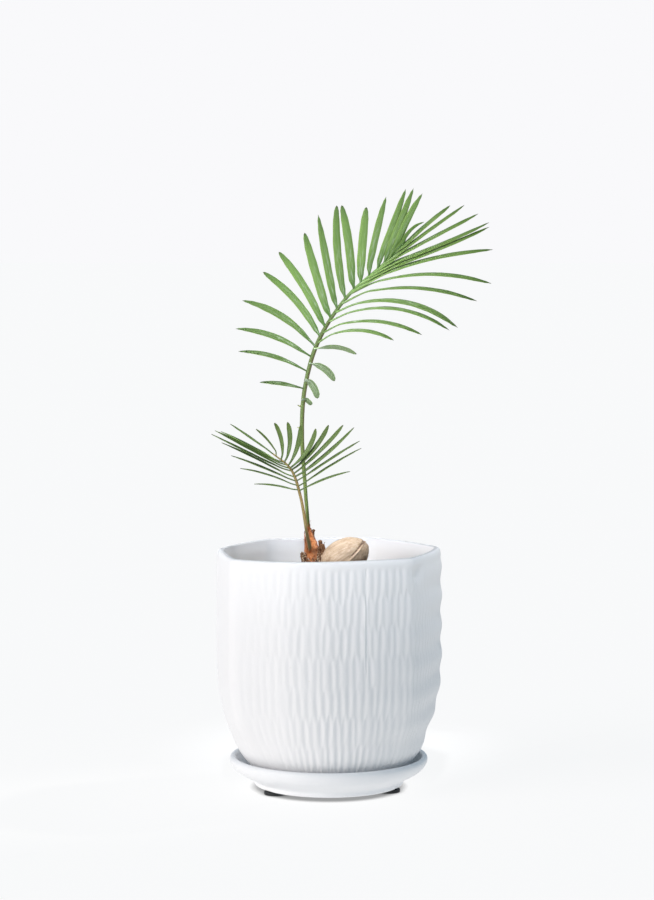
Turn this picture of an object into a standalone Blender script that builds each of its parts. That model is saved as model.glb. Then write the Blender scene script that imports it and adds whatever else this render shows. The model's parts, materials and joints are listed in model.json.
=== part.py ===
"""A sago palm seedling in a white faceted ceramic pot, standing on a round saucer with rubber feet.

Metres, +Z up. The surface it stands on is z = 0, the front looks along -Y, and the origin is the middle
of the whole plant's footprint. Everything is modelled about the pot's own axis, and an empty then shifts
it sideways, because the fronds lean further to the right than the pot does to the left.
Sizes are in millimetres times MM, angles in degrees.
"""

import math

import bmesh
import bpy
from mathutils import Matrix, Vector
from mathutils.geometry import interpolate_bezier

# Driving dimensions
MM = 0.001
GAP = 0.3 * MM                  # air between pieces that touch
POT_AXIS = (-13.5 * MM, 1.6 * MM)           # from the middle of the whole footprint
TURN_STEPS = 72                 # facets around the pot, the saucer and the soil

FOOT_RADIUS = 7.5 * MM
FOOT_HEIGHT = 2.2 * MM
FOOT_CIRCLE = 45.0 * MM
FOOT_ANGLES = {"right": -24, "left": -144, "back": 96}

SAUCER_SHIFT = -0.8 * MM        # the pot stands a little off the saucer's centre

# The saucer's half section: (radius, height), from the middle of the underside round to the floor's middle
SAUCER_SECTION = [(0, 2.5), (50, 2.5), (51.5, 3.6), (51.5, 6), (58.5, 9.4), (64.7, 13.4), (67, 16.2),
                  (68, 19), (67.6, 21.4), (65.9, 22.4), (64.2, 21.6), (63.5, 19.5), (62.4, 16.6),
                  (57.3, 13.6), (50.3, 10.2), (46, 8.3), (0, 8.3)]

# The pot's half sections. The radii are those of a round pot; POT_CORNERS then makes it faceted.
POT_OUTSIDE = [(43, 8.6), (47.3, 9.8), (51, 12.5), (56, 17.5), (61, 24), (65.2, 32), (69.5, 43),
               (72.8, 54), (75, 65), (76.2, 78), (76.8, 97), (76.7, 120), (76.5, 145), (75.8, 157.5)]
POT_RIM = [(74.2, 162.6), (72.8, 164.4), (71.3, 164.2), (70.5, 162.6)]
POT_INSIDE = [(71.8, 150), (72.6, 130), (72.6, 100), (71.5, 74), (68.3, 54), (63.5, 38), (56, 25),
              (48.5, 17.6), (41, 14.6)]
DRAIN_RADIUS = 7.0
# The pot's plan at the rim: (angle, radius) of each soft vertical corner, anticlockwise from +X
POT_CORNERS = [(11, 76.5), (66, 77), (126, 77), (176, 75.5), (219, 86), (258, 75.5), (292, 69), (317, 72)]
CORNER_SHARPNESS = 0.65         # 1 is flat facets, 0 is a round pot
PLAN_ROUND = 75.0               # the radius that the facets soften towards
PLAN_MEAN = 73.8                # the plan radius at which the half section is true
FACETS_FROM, FACETS_FULL = 10.0, 60.0       # heights between which the round foot turns faceted
RIM_DIP = 1.0                   # how far the hand-made rim sinks at its front left corner
RIM_DIP_ANGLE, RIM_DIP_SPREAD, RIM_DIP_FROM = 225, 30, 145.0

SOIL_TOP = 148.0
SOIL_EDGE_DROP = -1.0           # the soil is lowest where it meets the pot
SOIL_SIDE_GAP, SOIL_FLOOR_GAP = 0.7, 0.4
SOIL_BED_SLACK = 1.4            # the beds of the seed and the caudex, in gaps
SOIL_MOUND = [(66, -0.6), (48, 0.4), (28, 0.8), (12, 0.6), (0, 0.6)]    # (radius, height above SOIL_TOP)

SEED_HALF_LENGTH = 17.5 * MM
SEED_HALF_WIDTH = 12.8 * MM
SEED_HALF_HEIGHT = 12.6 * MM
SEED_PLACE = Vector((10.5, -4.0, 159.6)) * MM
SEED_TILT = 30                  # its right-hand end is raised
KEEL_HEIGHT = 0.06              # as a share of the seed's half width
KEEL_ANGLE, KEEL_SPREAD = 35, 20        # how far the keel sits above the front, and how wide it is
BLUNT_END = 0.07                # how much the raised end narrows, and the low end swells

# The caudex, bottom to top: (x, y, z, radius)
CAUDEX_STATIONS = [(-12.0, 3.0, 138.5, 4.6), (-12.0, 3.0, 143, 7.2), (-12.2, 3.0, 148, 8.2),
                   (-12.6, 3.1, 153, 7.8), (-13.2, 3.3, 158, 6.2), (-13.8, 3.5, 163, 4.6),
                   (-14.2, 3.7, 168, 3.9), (-14.4, 3.9, 173, 3.4)]
CAUDEX_SIDES = 12
CAUDEX_FOOT_DROP, CAUDEX_NECK_RISE = 2.0, 0.4       # how far its rounded ends stand past the stations

# Each rachis: its smooth centreline's points, bottom to top, and its radius at both ends
TALL_RACHIS = [(-14.4, 4, 174), (-16.9, 6.6, 205), (-19.2, 9, 245), (-17, 10.7, 275), (-8, 11.7, 306),
               (11, 11.9, 335.5), (34, 10.5, 356.5), (51, 8.6, 372.5)]
TALL_RADII = (1.4, 0.7)
SMALL_RACHIS = [(-14.0, -8.2, 159), (-16.6, -11, 182), (-20.3, -14.6, 203), (-26.5, -20.6, 221),
                (-39, -30, 232.6)]
SMALL_RADII = (0.95, 0.6)
RACHIS_SIDES = 8
RACHIS_RING_SPACING = 7.0
RACHIS_FOOT_DROP = 0.3          # its foot ends in a shallow point

# Leaflets, one line each from the base of the frond upwards:
# (distance along the rachis, heading, bend, length, roll). A heading is measured in the frond's plane,
# anticlockwise from +X; the bend is how far it turns by the tip. A roll of 0 shows the whole upper face
# to the front, 90 shows an edge, 180 shows the underside.
TALL_LEFT = [(100, 160, 24, 32, 52), (112, 146, 36, 51, 43), (122, 141, 39, 57, 35), (130, 127, 43, 62, 25),
             (138, 117, 32, 60, 25), (145, 113, 20, 60, 25), (152, 109, -2, 61, 25), (160, 102, -1, 64, 30),
             (169, 102, -14, 64, 22), (177, 92, 12, 59, 22), (184, 88, -4, 52, 10), (191, 80, -5, 55, 22),
             (199, 70, 4, 58, 22), (207.5, 70, 1, 53, 22), (216, 74, -15, 46, 22), (222, 76, -55, 24, 60)]
TALL_RIGHT = [(93, -42, -2, 6, 165), (106, -40, -44, 15, 170), (118, -10, -58, 21, 172),
              (129, 17, -55, 28, 125), (137, 28, -61, 51, 60), (145, 21, -52, 67, 60),
              (153, 26, -64, 84, 60), (161, 23, -66, 86, 48), (173, 17, -40, 86, 60),
              (181, 21, -41, 91, 60), (189.5, 24, -22, 86, 58), (197, 19, 4, 81, 58), (204, 19, 6, 75, 58),
              (210, 29, -3, 64, 58), (216, 38, -4, 54, 58)]
TALL_TERMINAL = (47, -10, 44, 58)           # heading, bend, length, roll
SMALL_RIGHT = [(48, 32, -22, 37, 70), (51, 37, -12, 50, 70), (55, 37, -8, 50, 70), (58, 35, 10, 52, 48),
               (61, 40, 11, 46, 40), (63.5, 38, 25, 40, 32), (66, 35, 43, 32, 32), (68.5, 56, 31, 30, 20),
               (72, 66, 36, 28, 20), (75.5, 81, 35, 26, 32), (80, 114, 22, 22, 55)]
SMALL_LEFT = [(48.5, 158, 24, 31, 70), (52, 151, 23, 42, 70), (55.5, 151, 11, 49, 70),
              (58.5, 149, 9, 56, 70), (63, 152, 1, 62, 72), (66, 149, 3, 58, 74), (69, 146, 9, 53, 75),
              (72.5, 144, 10, 47, 75)]
SMALL_TERMINAL = (141, 7, 35, 70)
TALL_LEAFLET_WIDTH = 5.2
SMALL_LEAFLET_WIDTH = 3.7
LEAFLET_THICKNESS = 0.7
LEAFLET_STALK_WIDTH = 1.4       # across the narrow base, where it leaves the rachis
LEAFLET_STANDOFF = 0.6          # from the air gap to the middle of the narrow base
LEAFLET_FORWARD = 0.3           # how far its base sits round towards the front of the rachis
BLADE_OPEN_BY = 0.25            # the share of its length by which the blade has its full width
BLADE_CLOSE_FROM, BLADE_CLOSE_LOSS = 0.6, 0.75      # where it starts to narrow, and the share lost by the tip
LEAFLET_RINGS = 9
# How far each row leans to the front from the frond's plane
TALL_LEANS = {"left": 10, "right": 9, "terminal": 5}
SMALL_LEANS = {"left": 12, "right": 5, "terminal": 12}


# Shared tools
def make_material(name, colour, roughness):
    """A plain Principled finish."""
    material = bpy.data.materials.new(name)
    material.use_nodes = True
    shader = material.node_tree.nodes["Principled BSDF"]
    shader.inputs["Base Color"].default_value = (*colour, 1)
    shader.inputs["Roughness"].default_value = roughness
    shader.inputs["Metallic"].default_value = 0
    return material


def add_object(name, bm, material):
    """Turn a bmesh into a named object that hangs on the pot's axis."""
    bmesh.ops.recalc_face_normals(bm, faces=bm.faces[:])
    mesh = bpy.data.meshes.new(name)
    bm.to_mesh(mesh)
    bm.free()
    mesh.materials.append(material)
    mesh.shade_smooth()
    mesh.set_sharp_from_angle(angle=math.radians(40))
    piece = bpy.data.objects.new(name, mesh)
    bpy.context.scene.collection.objects.link(piece)
    piece.parent = pot_axis
    return piece


def turned(section):
    """Spin a half section of (radius, height) points, in millimetres, a full turn about Z."""
    bm = bmesh.new()
    corners = [bm.verts.new((radius * MM, 0, height * MM)) for radius, height in section]
    edges = [bm.edges.new(pair) for pair in zip(corners, corners[1:])]
    bmesh.ops.spin(bm, geom=corners + edges, cent=(0, 0, 0), axis=(0, 0, 1), angle=2 * math.pi,
                   steps=TURN_STEPS, use_merge=True)
    bmesh.ops.remove_doubles(bm, verts=bm.verts[:], dist=0.01 * MM)
    return bm


def smooth_line(points, step):
    """Evenly spaced points, about a step apart, along a smooth curve through the given points."""
    stops = [Vector(point) for point in points]
    tangents = [stops[min(i + 1, len(stops) - 1)] - stops[max(i - 1, 0)] for i in range(len(stops))]
    dense = [stops[0]]
    for start, end, leave, arrive in zip(stops, stops[1:], tangents, tangents[1:]):
        reach = (end - start).length / 3
        handles = start + leave.normalized() * reach, end - arrive.normalized() * reach
        dense += interpolate_bezier(start, *handles, end, 40)[1:]
    travelled = [0.0]
    for start, end in zip(dense, dense[1:]):
        travelled.append(travelled[-1] + (end - start).length)
    count = round(travelled[-1] / step)
    line, here = [], 0
    for index in range(count):
        distance = travelled[-1] * index / count
        while travelled[here + 1] < distance:
            here += 1
        share = (distance - travelled[here]) / (travelled[here + 1] - travelled[here])
        line.append(dense[here].lerp(dense[here + 1], share))
    return line + [dense[-1]]


def lofted(first_tip, rings, last_tip):
    """A closed tube through rings of points, with a single point at each end, in millimetres."""
    bm = bmesh.new()
    corners = [bm.verts.new(point) for point in rings[0]]
    start_cap = bm.faces.new(corners)
    tip = bmesh.ops.poke(bm, faces=[start_cap])["verts"][0]
    tip.co = first_tip
    edges = [bm.edges.get(pair) for pair in zip(corners, corners[1:] + corners[:1])]
    for ring in rings[1:]:
        grown = bmesh.ops.extrude_edge_only(bm, edges=edges)["geom"]
        new_corners = {vert for vert in grown if isinstance(vert, bmesh.types.BMVert)}
        corners = [next(edge.other_vert(corner) for edge in corner.link_edges
                        if edge.other_vert(corner) in new_corners) for corner in corners]
        for corner, point in zip(corners, ring):
            corner.co = point
        edges = [bm.edges.get(pair) for pair in zip(corners, corners[1:] + corners[:1])]
    end_cap = bm.faces.new(corners)
    tip = bmesh.ops.poke(bm, faces=[end_cap])["verts"][0]
    tip.co = last_tip
    bmesh.ops.scale(bm, vec=(MM, MM, MM), verts=bm.verts[:])
    return bm


def smooth_step(value):
    """Ease from 0 to 1 as the value goes from 0 to 1."""
    value = min(max(value, 0.0), 1.0)
    return value * value * (3 - 2 * value)


# The stand: every piece hangs on the pot's axis
for old_object in list(bpy.data.objects):
    bpy.data.objects.remove(old_object, do_unlink=True)
pot_axis = bpy.data.objects.new("pot_axis", None)
pot_axis.location = (*POT_AXIS, 0)
bpy.context.scene.collection.objects.link(pot_axis)


# Saucer and its feet
def build_saucer():
    """A dish with an upright rounded lip and a low foot ring."""
    white = make_material("saucer_ceramic", (0.80, 0.81, 0.83), 0.55)
    saucer = add_object("saucer", turned(SAUCER_SECTION), white)
    saucer.location.x = SAUCER_SHIFT


def build_feet():
    """Three round rubber pads under the saucer."""
    black = make_material("foot_rubber", (0.02, 0.025, 0.03), 0.8)
    for side, angle in FOOT_ANGLES.items():
        bm = bmesh.new()
        bmesh.ops.create_cone(bm, cap_ends=True, segments=32, radius1=FOOT_RADIUS, radius2=FOOT_RADIUS,
                              depth=FOOT_HEIGHT)
        pad = add_object(f"saucer_foot_{side}", bm, black)
        turn = math.radians(angle)
        across, deep = FOOT_CIRCLE * math.cos(turn), FOOT_CIRCLE * math.sin(turn)
        pad.location = (SAUCER_SHIFT + across, deep, FOOT_HEIGHT / 2)


# Pot and soil
def plan_radius(angle):
    """The pot's radius at the rim in millimetres, at an angle in degrees from +X."""
    corners = POT_CORNERS + [(POT_CORNERS[0][0] + 360, POT_CORNERS[0][1])]
    while angle < corners[0][0]:
        angle += 360
    for (angle_a, radius_a), (angle_b, radius_b) in zip(corners, corners[1:]):
        if angle <= angle_b:
            span, first, second = (math.radians(turn) for turn in
                                   (angle_b - angle_a, angle - angle_a, angle_b - angle))
            flat = radius_a * radius_b * math.sin(span) / (radius_a * math.sin(first)
                                                           + radius_b * math.sin(second))
            return CORNER_SHARPNESS * flat + (1 - CORNER_SHARPNESS) * PLAN_ROUND
    raise ValueError("angle outside one turn")


def make_faceted(bm):
    """Push a turned pot shape out or in, so that its plan has soft corners."""
    for vert in bm.verts:
        angle = math.degrees(math.atan2(vert.co.y, vert.co.x)) % 360
        height = vert.co.z / MM
        share = smooth_step((height - FACETS_FROM) / (FACETS_FULL - FACETS_FROM))
        stretch = 1 + share * (plan_radius(angle) / PLAN_MEAN - 1)
        vert.co.x *= stretch
        vert.co.y *= stretch
        dip = RIM_DIP * math.exp(-((angle - RIM_DIP_ANGLE) / RIM_DIP_SPREAD) ** 2)
        vert.co.z -= dip * smooth_step((height - RIM_DIP_FROM) / (POT_RIM[1][1] - RIM_DIP_FROM)) * MM


def build_pot():
    """An open vessel with a wall about 4 mm thick and a drain hole in its floor."""
    white = make_material("pot_bisque_ceramic", (0.82, 0.83, 0.85), 0.7)
    floor_under, floor_over = POT_OUTSIDE[0][1], POT_INSIDE[-1][1]
    section = ([(DRAIN_RADIUS, floor_under)] + POT_OUTSIDE + POT_RIM + POT_INSIDE
               + [(DRAIN_RADIUS, floor_over), (DRAIN_RADIUS, floor_under)])
    bm = turned(section)
    make_faceted(bm)
    add_object("pot", bm, white)


def inside_radius(height):
    """The round pot's inner radius at a height, in millimetres."""
    for (radius_a, height_a), (radius_b, height_b) in zip(POT_INSIDE, POT_INSIDE[1:]):
        if height_b <= height <= height_a:
            return radius_b + (radius_a - radius_b) * (height - height_b) / (height_a - height_b)
    raise ValueError("height outside the pot's wall")


def build_soil(bedded):
    """A block of potting mix that fills the pot, with a bed for each piece that sits in it."""
    brown = make_material("potting_soil", (0.07, 0.045, 0.03), 0.95)
    edge_height = SOIL_TOP + SOIL_EDGE_DROP
    floor_radius, floor_height = POT_INSIDE[-1][0] - SOIL_SIDE_GAP, POT_INSIDE[-1][1] + SOIL_FLOOR_GAP
    wall = [(radius - SOIL_SIDE_GAP, height) for radius, height in reversed(POT_INSIDE[1:-1])]
    section = ([(0, floor_height), (floor_radius, floor_height)] + wall
               + [(inside_radius(edge_height) - SOIL_SIDE_GAP, edge_height)]
               + [(radius, SOIL_TOP + rise) for radius, rise in SOIL_MOUND])
    bm = turned(section)
    make_faceted(bm)
    soil = add_object("soil", bm, brown)
    for piece in bedded:
        cutter = piece.copy()
        cutter.data = piece.data.copy()
        cutter.name = piece.name + "_bed"
        bpy.context.scene.collection.objects.link(cutter)
        swelling = cutter.modifiers.new("swelling", "DISPLACE")
        swelling.mid_level = 0
        swelling.strength = SOIL_BED_SLACK * GAP
        cutter.hide_render = True
        cutter.display_type = "WIRE"
        bed = soil.modifiers.new(cutter.name, "BOOLEAN")
        bed.operation = "DIFFERENCE"
        bed.solver = "EXACT"
        bed.object = cutter


# Seed and caudex
def build_seed():
    """A woody seed like a flattened egg, with a low keel from end to end and a blunt raised end."""
    tan = make_material("seed_shell", (0.66, 0.50, 0.36), 0.6)
    bm = bmesh.new()
    bmesh.ops.create_uvsphere(bm, u_segments=24, v_segments=14, radius=1,
                              matrix=Matrix.Rotation(math.radians(90), 4, "Y"))
    for vert in bm.verts:
        x, y, z = vert.co
        around = math.atan2(z, -y)
        keel = KEEL_HEIGHT * math.exp(-((math.degrees(around) - KEEL_ANGLE) / KEEL_SPREAD) ** 2)
        girth = 1 + keel * (1 - x * x) - BLUNT_END * x
        vert.co = Vector((x * SEED_HALF_LENGTH, y * girth * SEED_HALF_WIDTH, z * girth * SEED_HALF_HEIGHT))
    seed = add_object("seed", bm, tan)
    seed.location = SEED_PLACE
    seed.rotation_euler = (0, -math.radians(SEED_TILT), 0)
    return seed


def build_caudex():
    """The swollen woolly stem, from its foot in the soil up to the neck that the fronds leave."""
    woolly = make_material("caudex_wool", (0.35, 0.17, 0.07), 0.95)
    rings = []
    for x, y, z, radius in CAUDEX_STATIONS:
        ring = []
        for side in range(CAUDEX_SIDES):
            turn = 2 * math.pi * side / CAUDEX_SIDES
            ring.append(Vector((x + radius * math.cos(turn), y + radius * math.sin(turn), z)))
        rings.append(ring)
    x, y, z, _ = CAUDEX_STATIONS[0]
    below = Vector((x, y, z - CAUDEX_FOOT_DROP))
    x, y, z, _ = CAUDEX_STATIONS[-1]
    above = Vector((x, y, z + CAUDEX_NECK_RISE))
    return add_object("caudex", lofted(below, rings, above), woolly)


# Fronds
def blade_rings(base, heading, bend, length, lean, roll, width, side):
    """A leaflet's diamond-shaped rings from its narrow base to its tip, and the tip itself."""
    spacing = length / LEAFLET_RINGS
    centre = Vector(base)
    rings = []
    for index in range(LEAFLET_RINGS + 1):
        share = index / LEAFLET_RINGS
        turn = math.radians(heading + bend * share)
        tilt = math.radians(lean)
        along = Vector((math.cos(turn) * math.cos(tilt), -math.sin(tilt), math.sin(turn) * math.cos(tilt)))
        if index == LEAFLET_RINGS:
            return rings, centre
        across = Vector((-math.sin(turn), 0, math.cos(turn)))
        across.rotate(Matrix.Rotation(side * math.radians(roll), 3, along))
        upwards = along.cross(across)
        opening = smooth_step(share / BLADE_OPEN_BY)
        closing = 1 - BLADE_CLOSE_LOSS * max(0, (share - BLADE_CLOSE_FROM) / (1 - BLADE_CLOSE_FROM)) ** 2
        half_width = (LEAFLET_STALK_WIDTH + (width - LEAFLET_STALK_WIDTH) * opening) * closing / 2
        half_thick = LEAFLET_THICKNESS / 2
        if index:
            rings.append([centre - across * half_width, centre + upwards * half_thick,
                          centre + across * half_width, centre - upwards * half_thick])
        centre = centre + along * spacing


def place_on_rachis(line, distance):
    """The point at a distance along a rachis's centreline, and its direction there."""
    travelled = 0.0
    for start, end in zip(line, line[1:]):
        step = (end - start).length
        if travelled + step >= distance:
            return start.lerp(end, (distance - travelled) / step), (end - start).normalized()
        travelled += step
    raise ValueError("distance is past the end of the rachis")


def build_rachis(name, points, radii, terminal, lean, width, material):
    """A tapering stalk that ends in its terminal leaflet, as one piece. Returns its centreline."""
    line = smooth_line(points, RACHIS_RING_SPACING)
    rings = []
    for index, centre in enumerate(line):
        along = (line[min(index + 1, len(line) - 1)] - line[max(index - 1, 0)]).normalized()
        across = along.cross(Vector((0, -1, 0))).normalized()
        upwards = across.cross(along)
        radius = radii[0] + (radii[1] - radii[0]) * index / (len(line) - 1)
        ring = []
        for side in range(RACHIS_SIDES):
            turn = 2 * math.pi * side / RACHIS_SIDES
            ring.append(centre + radius * (math.cos(turn) * across + math.sin(turn) * upwards))
        rings.append(ring)
    heading, bend, length, roll = terminal
    diamonds, tip = blade_rings(line[-1], heading, bend, length, lean, roll, width, -1)
    for right, top, left, bottom in diamonds:
        rings.append([right, right.lerp(top, 0.5), top, top.lerp(left, 0.5),
                      left, left.lerp(bottom, 0.5), bottom, bottom.lerp(right, 0.5)])
    foot = line[0] - (line[1] - line[0]).normalized() * RACHIS_FOOT_DROP
    add_object(name, lofted(foot, rings, tip), material)
    return line


def build_row(name, line, radii, leaflets, side, lean, width, material):
    """One row of leaflets. side is +1 for the row on the rachis's left, -1 for its right."""
    total = sum((end - start).length for start, end in zip(line, line[1:]))
    for number, (distance, heading, bend, length, roll) in enumerate(leaflets, 1):
        centre, along = place_on_rachis(line, distance)
        outwards = Vector((-along.z, 0, along.x)).normalized() * side
        outwards = (outwards + Vector((0, -LEAFLET_FORWARD, 0))).normalized()
        radius = radii[0] + (radii[1] - radii[0]) * distance / total
        base = centre + outwards * (radius + GAP / MM + LEAFLET_STANDOFF)
        rings, tip = blade_rings(base, heading, bend, length, lean, roll, width, side)
        add_object(f"{name}_leaflet_{number:02d}", lofted(base, rings, tip), material)


def build_frond(name, points, radii, rows, terminal, leans, width, materials):
    """A rachis with its terminal leaflet, and its left and right rows of leaflets."""
    stalk, green = materials
    line = build_rachis(f"{name}_rachis", points, radii, terminal, leans["terminal"], width, stalk)
    for side_name, side in (("left", 1), ("right", -1)):
        build_row(f"{name}_{side_name}", line, radii, rows[side_name], side, leans[side_name], width, green)


def build_fronds():
    """The tall frond behind and the small young one in front of it."""
    materials = (make_material("rachis_green", (0.22, 0.30, 0.09), 0.5),
                 make_material("leaflet_green", (0.19, 0.36, 0.10), 0.45))
    build_frond("tall_frond", TALL_RACHIS, TALL_RADII, {"left": TALL_LEFT, "right": TALL_RIGHT},
                TALL_TERMINAL, TALL_LEANS, TALL_LEAFLET_WIDTH, materials)
    build_frond("small_frond", SMALL_RACHIS, SMALL_RADII, {"left": SMALL_LEFT, "right": SMALL_RIGHT},
                SMALL_TERMINAL, SMALL_LEANS, SMALL_LEAFLET_WIDTH, materials)


build_saucer()
build_feet()
build_pot()
build_soil([build_seed(), build_caudex()])
build_fronds()
bpy.context.view_layer.update()
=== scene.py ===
import json
import math
import random

import bmesh
import bpy
from mathutils import Matrix, Vector, noise
from mathutils.geometry import interpolate_bezier


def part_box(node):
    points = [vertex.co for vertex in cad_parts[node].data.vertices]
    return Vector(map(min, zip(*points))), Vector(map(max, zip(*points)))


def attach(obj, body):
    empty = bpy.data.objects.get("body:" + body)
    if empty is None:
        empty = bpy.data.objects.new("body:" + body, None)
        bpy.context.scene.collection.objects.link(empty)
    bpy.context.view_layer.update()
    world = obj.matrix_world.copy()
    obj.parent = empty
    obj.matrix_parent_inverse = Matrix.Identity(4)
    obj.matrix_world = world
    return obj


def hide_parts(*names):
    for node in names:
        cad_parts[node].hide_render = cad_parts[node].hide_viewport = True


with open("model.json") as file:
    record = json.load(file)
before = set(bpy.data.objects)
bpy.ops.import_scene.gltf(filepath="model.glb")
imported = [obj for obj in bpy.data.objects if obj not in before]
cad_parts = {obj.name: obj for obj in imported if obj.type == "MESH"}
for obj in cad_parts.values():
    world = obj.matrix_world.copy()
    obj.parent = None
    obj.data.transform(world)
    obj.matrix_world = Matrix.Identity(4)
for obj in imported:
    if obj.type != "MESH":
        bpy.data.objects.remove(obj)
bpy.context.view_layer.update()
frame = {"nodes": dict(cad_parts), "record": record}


# ---------------------------------------------------------------- Studio
# A pale seamless floor that runs to the horizon, a broad soft light from the left, two small spots from above,
# and a weak cool fill from all round. The camera stands in front, a little above the rim of the pot.
MM = 0.001
FLOOR_HALF_WIDTH = 60.0
BACKDROP = "#F9F9FB"
FILL_COLOUR, FILL_STRENGTH = "#D7EEFF", 0.42
# The lamp: degrees left of the front, degrees up, strength, softness, colour
KEY_LEFT, KEY_UP, KEY_STRENGTH, KEY_SOFTNESS, KEY_COLOUR = 58, 16, 1.95, 46, "#FFF2EA"
# Two small soft spots look down into the mouth of the pot: place, aim, power, cone, colour
SPOTS = {"front_spot": ((-0.05, -0.62, 1.22), (-0.0140, 0.040, 0.160), 162, 6.0, "#FBFCFF"),
         "side_spot": ((0.70, 0.35, 0.95), (-0.040, 0.010, 0.158), 58, 6.0, "#FFF3E6")}
SPOT_BLEND, SPOT_RADIUS = 0.6, 0.08
# The board glows a little, as a lit translucent table does, so that only soft faint shadows fall on it
BOARD_GREY, BOARD_GLOW, BOARD_SEEN_GLOW = "#6E6E6E", 0.735, 0.868
CONTACT_REACH = 5 * MM
CAMERA_PLACE, CAMERA_PITCH, CAMERA_LENS = (-0.01554, -1.7484, 0.37), -4.5, 102.94


def linear(code):
    """A colour such as "#F2F2F4" as linear red, green, blue and alpha."""
    parts = [int(code[start:start + 2], 16) / 255 for start in (1, 3, 5)]
    return tuple(c / 12.92 if c <= 0.04045 else ((c + 0.055) / 1.055) ** 2.4 for c in parts) + (1.0,)


def add_node(tree, kind, inputs=(), **settings):
    """A new node with its settings. Each input is given a value or another node's output."""
    node = tree.nodes.new(kind)
    for name, value in settings.items():
        setattr(node, name, value)
    for name, value in dict(inputs).items():
        if isinstance(value, bpy.types.NodeSocket):
            tree.links.new(value, node.inputs[name])
        else:
            node.inputs[name].default_value = value
    return node


world = bpy.data.worlds.new("studio")
world.use_nodes = True
world.node_tree.nodes.clear()
seen = add_node(world.node_tree, "ShaderNodeBackground", {"Color": linear(BACKDROP)})
fill = add_node(world.node_tree, "ShaderNodeBackground",
                {"Color": linear(FILL_COLOUR), "Strength": FILL_STRENGTH})
path = add_node(world.node_tree, "ShaderNodeLightPath")
both = add_node(world.node_tree, "ShaderNodeMixShader",
                {0: path.outputs["Is Camera Ray"], 1: fill.outputs[0], 2: seen.outputs[0]})
add_node(world.node_tree, "ShaderNodeOutputWorld", {"Surface": both.outputs[0]})
bpy.context.scene.world = world
bpy.context.scene.view_settings.view_transform = "Standard"

lamp = bpy.data.lights.new("key_light", "SUN")
lamp.energy = KEY_STRENGTH
lamp.angle = math.radians(KEY_SOFTNESS)
lamp.color = linear(KEY_COLOUR)[:3]
holder = bpy.data.objects.new("key_light", lamp)
holder.rotation_euler = (math.radians(90 - KEY_UP), 0, -math.radians(KEY_LEFT))
bpy.context.scene.collection.objects.link(holder)

for spot_name, (place, aim, power, cone, colour) in SPOTS.items():
    spot = bpy.data.lights.new(spot_name, "SPOT")
    spot.energy = power
    spot.spot_size = math.radians(cone)
    spot.spot_blend = SPOT_BLEND
    spot.shadow_soft_size = SPOT_RADIUS
    spot.color = linear(colour)[:3]
    holder = bpy.data.objects.new(spot_name, spot)
    holder.location = place
    holder.rotation_euler = (Vector(aim) - Vector(place)).to_track_quat("-Z", "Y").to_euler()
    bpy.context.scene.collection.objects.link(holder)

camera = bpy.data.objects.new("camera", bpy.data.cameras.new("camera"))
camera.data.sensor_width = 36
camera.data.lens = CAMERA_LENS
camera.location = CAMERA_PLACE
camera.rotation_euler = (math.radians(90 + CAMERA_PITCH), 0, 0)
bpy.context.scene.collection.objects.link(camera)
bpy.context.scene.camera = camera

# Matt white board that glows, with no gloss, so that it stays one even tone; the camera sees a stronger glow than the
# pot gets, and that seen glow fades close to the saucer: a painted contact shadow
painted_board = bpy.data.materials.new("white_translucent_board")
painted_board.use_nodes = True
board_tree = painted_board.node_tree
board_shader = board_tree.nodes["Principled BSDF"]
board_shader.inputs["Roughness"].default_value = 0.9
board_shader.inputs["Specular IOR Level"].default_value = 0.0
board_place = add_node(board_tree, "ShaderNodeTexCoord")
board_grain = add_node(board_tree, "ShaderNodeTexNoise",
                       {"Vector": board_place.outputs["Object"], "Scale": 1 / (300 * MM), "Detail": 2})
board_tone = add_node(board_tree, "ShaderNodeMix",
                      {0: board_grain.outputs[0], 6: linear(BOARD_GREY), 7: linear("#707070")},
                      data_type="RGBA")
board_tree.links.new(board_tone.outputs[2], board_shader.inputs["Base Color"])
# painted contact shadow: occlusion within the contact reach dims the glow that the camera sees
contact = add_node(board_tree, "ShaderNodeAmbientOcclusion", {"Distance": CONTACT_REACH}, samples=12)
near_glow = add_node(board_tree, "ShaderNodeMath", {0: contact.outputs["AO"], 1: BOARD_SEEN_GLOW},
                     operation="MULTIPLY")
board_path = add_node(board_tree, "ShaderNodeLightPath")
glow = add_node(board_tree, "ShaderNodeMix", {0: board_path.outputs["Is Camera Ray"], 2: BOARD_GLOW,
                                              3: near_glow.outputs[0]})
board_shader.inputs["Emission Color"].default_value = (1, 1, 1, 1)
board_tree.links.new(glow.outputs[0], board_shader.inputs["Emission Strength"])
floor_bm = bmesh.new()
bmesh.ops.create_grid(floor_bm, x_segments=1, y_segments=1, size=FLOOR_HALF_WIDTH)
floor_mesh = bpy.data.meshes.new("floor")
floor_bm.to_mesh(floor_mesh)
floor_bm.free()
floor_mesh.materials.append(painted_board)
floor = bpy.data.objects.new("floor", floor_mesh)
bpy.context.scene.collection.objects.link(floor)


# ---------------------------------------------------------------- Saucer feet
# Three soft black rubber pads, moulded with rounded edges and stuck under the saucer's foot.
# They lift the saucer off the table, so that a dark gap shows all round.
PAD_EDGE = 0.55 * MM
RUBBER, RUBBER_DUST = "#0D1012", "#1C2123"


def start_material(name):
    """A new node material, its tree, its shader and its Object coordinates."""
    material = bpy.data.materials.new(name)
    material.use_nodes = True
    tree = material.node_tree
    place = add_node(tree, "ShaderNodeTexCoord").outputs["Object"]
    return material, tree, tree.nodes["Principled BSDF"], place


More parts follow.
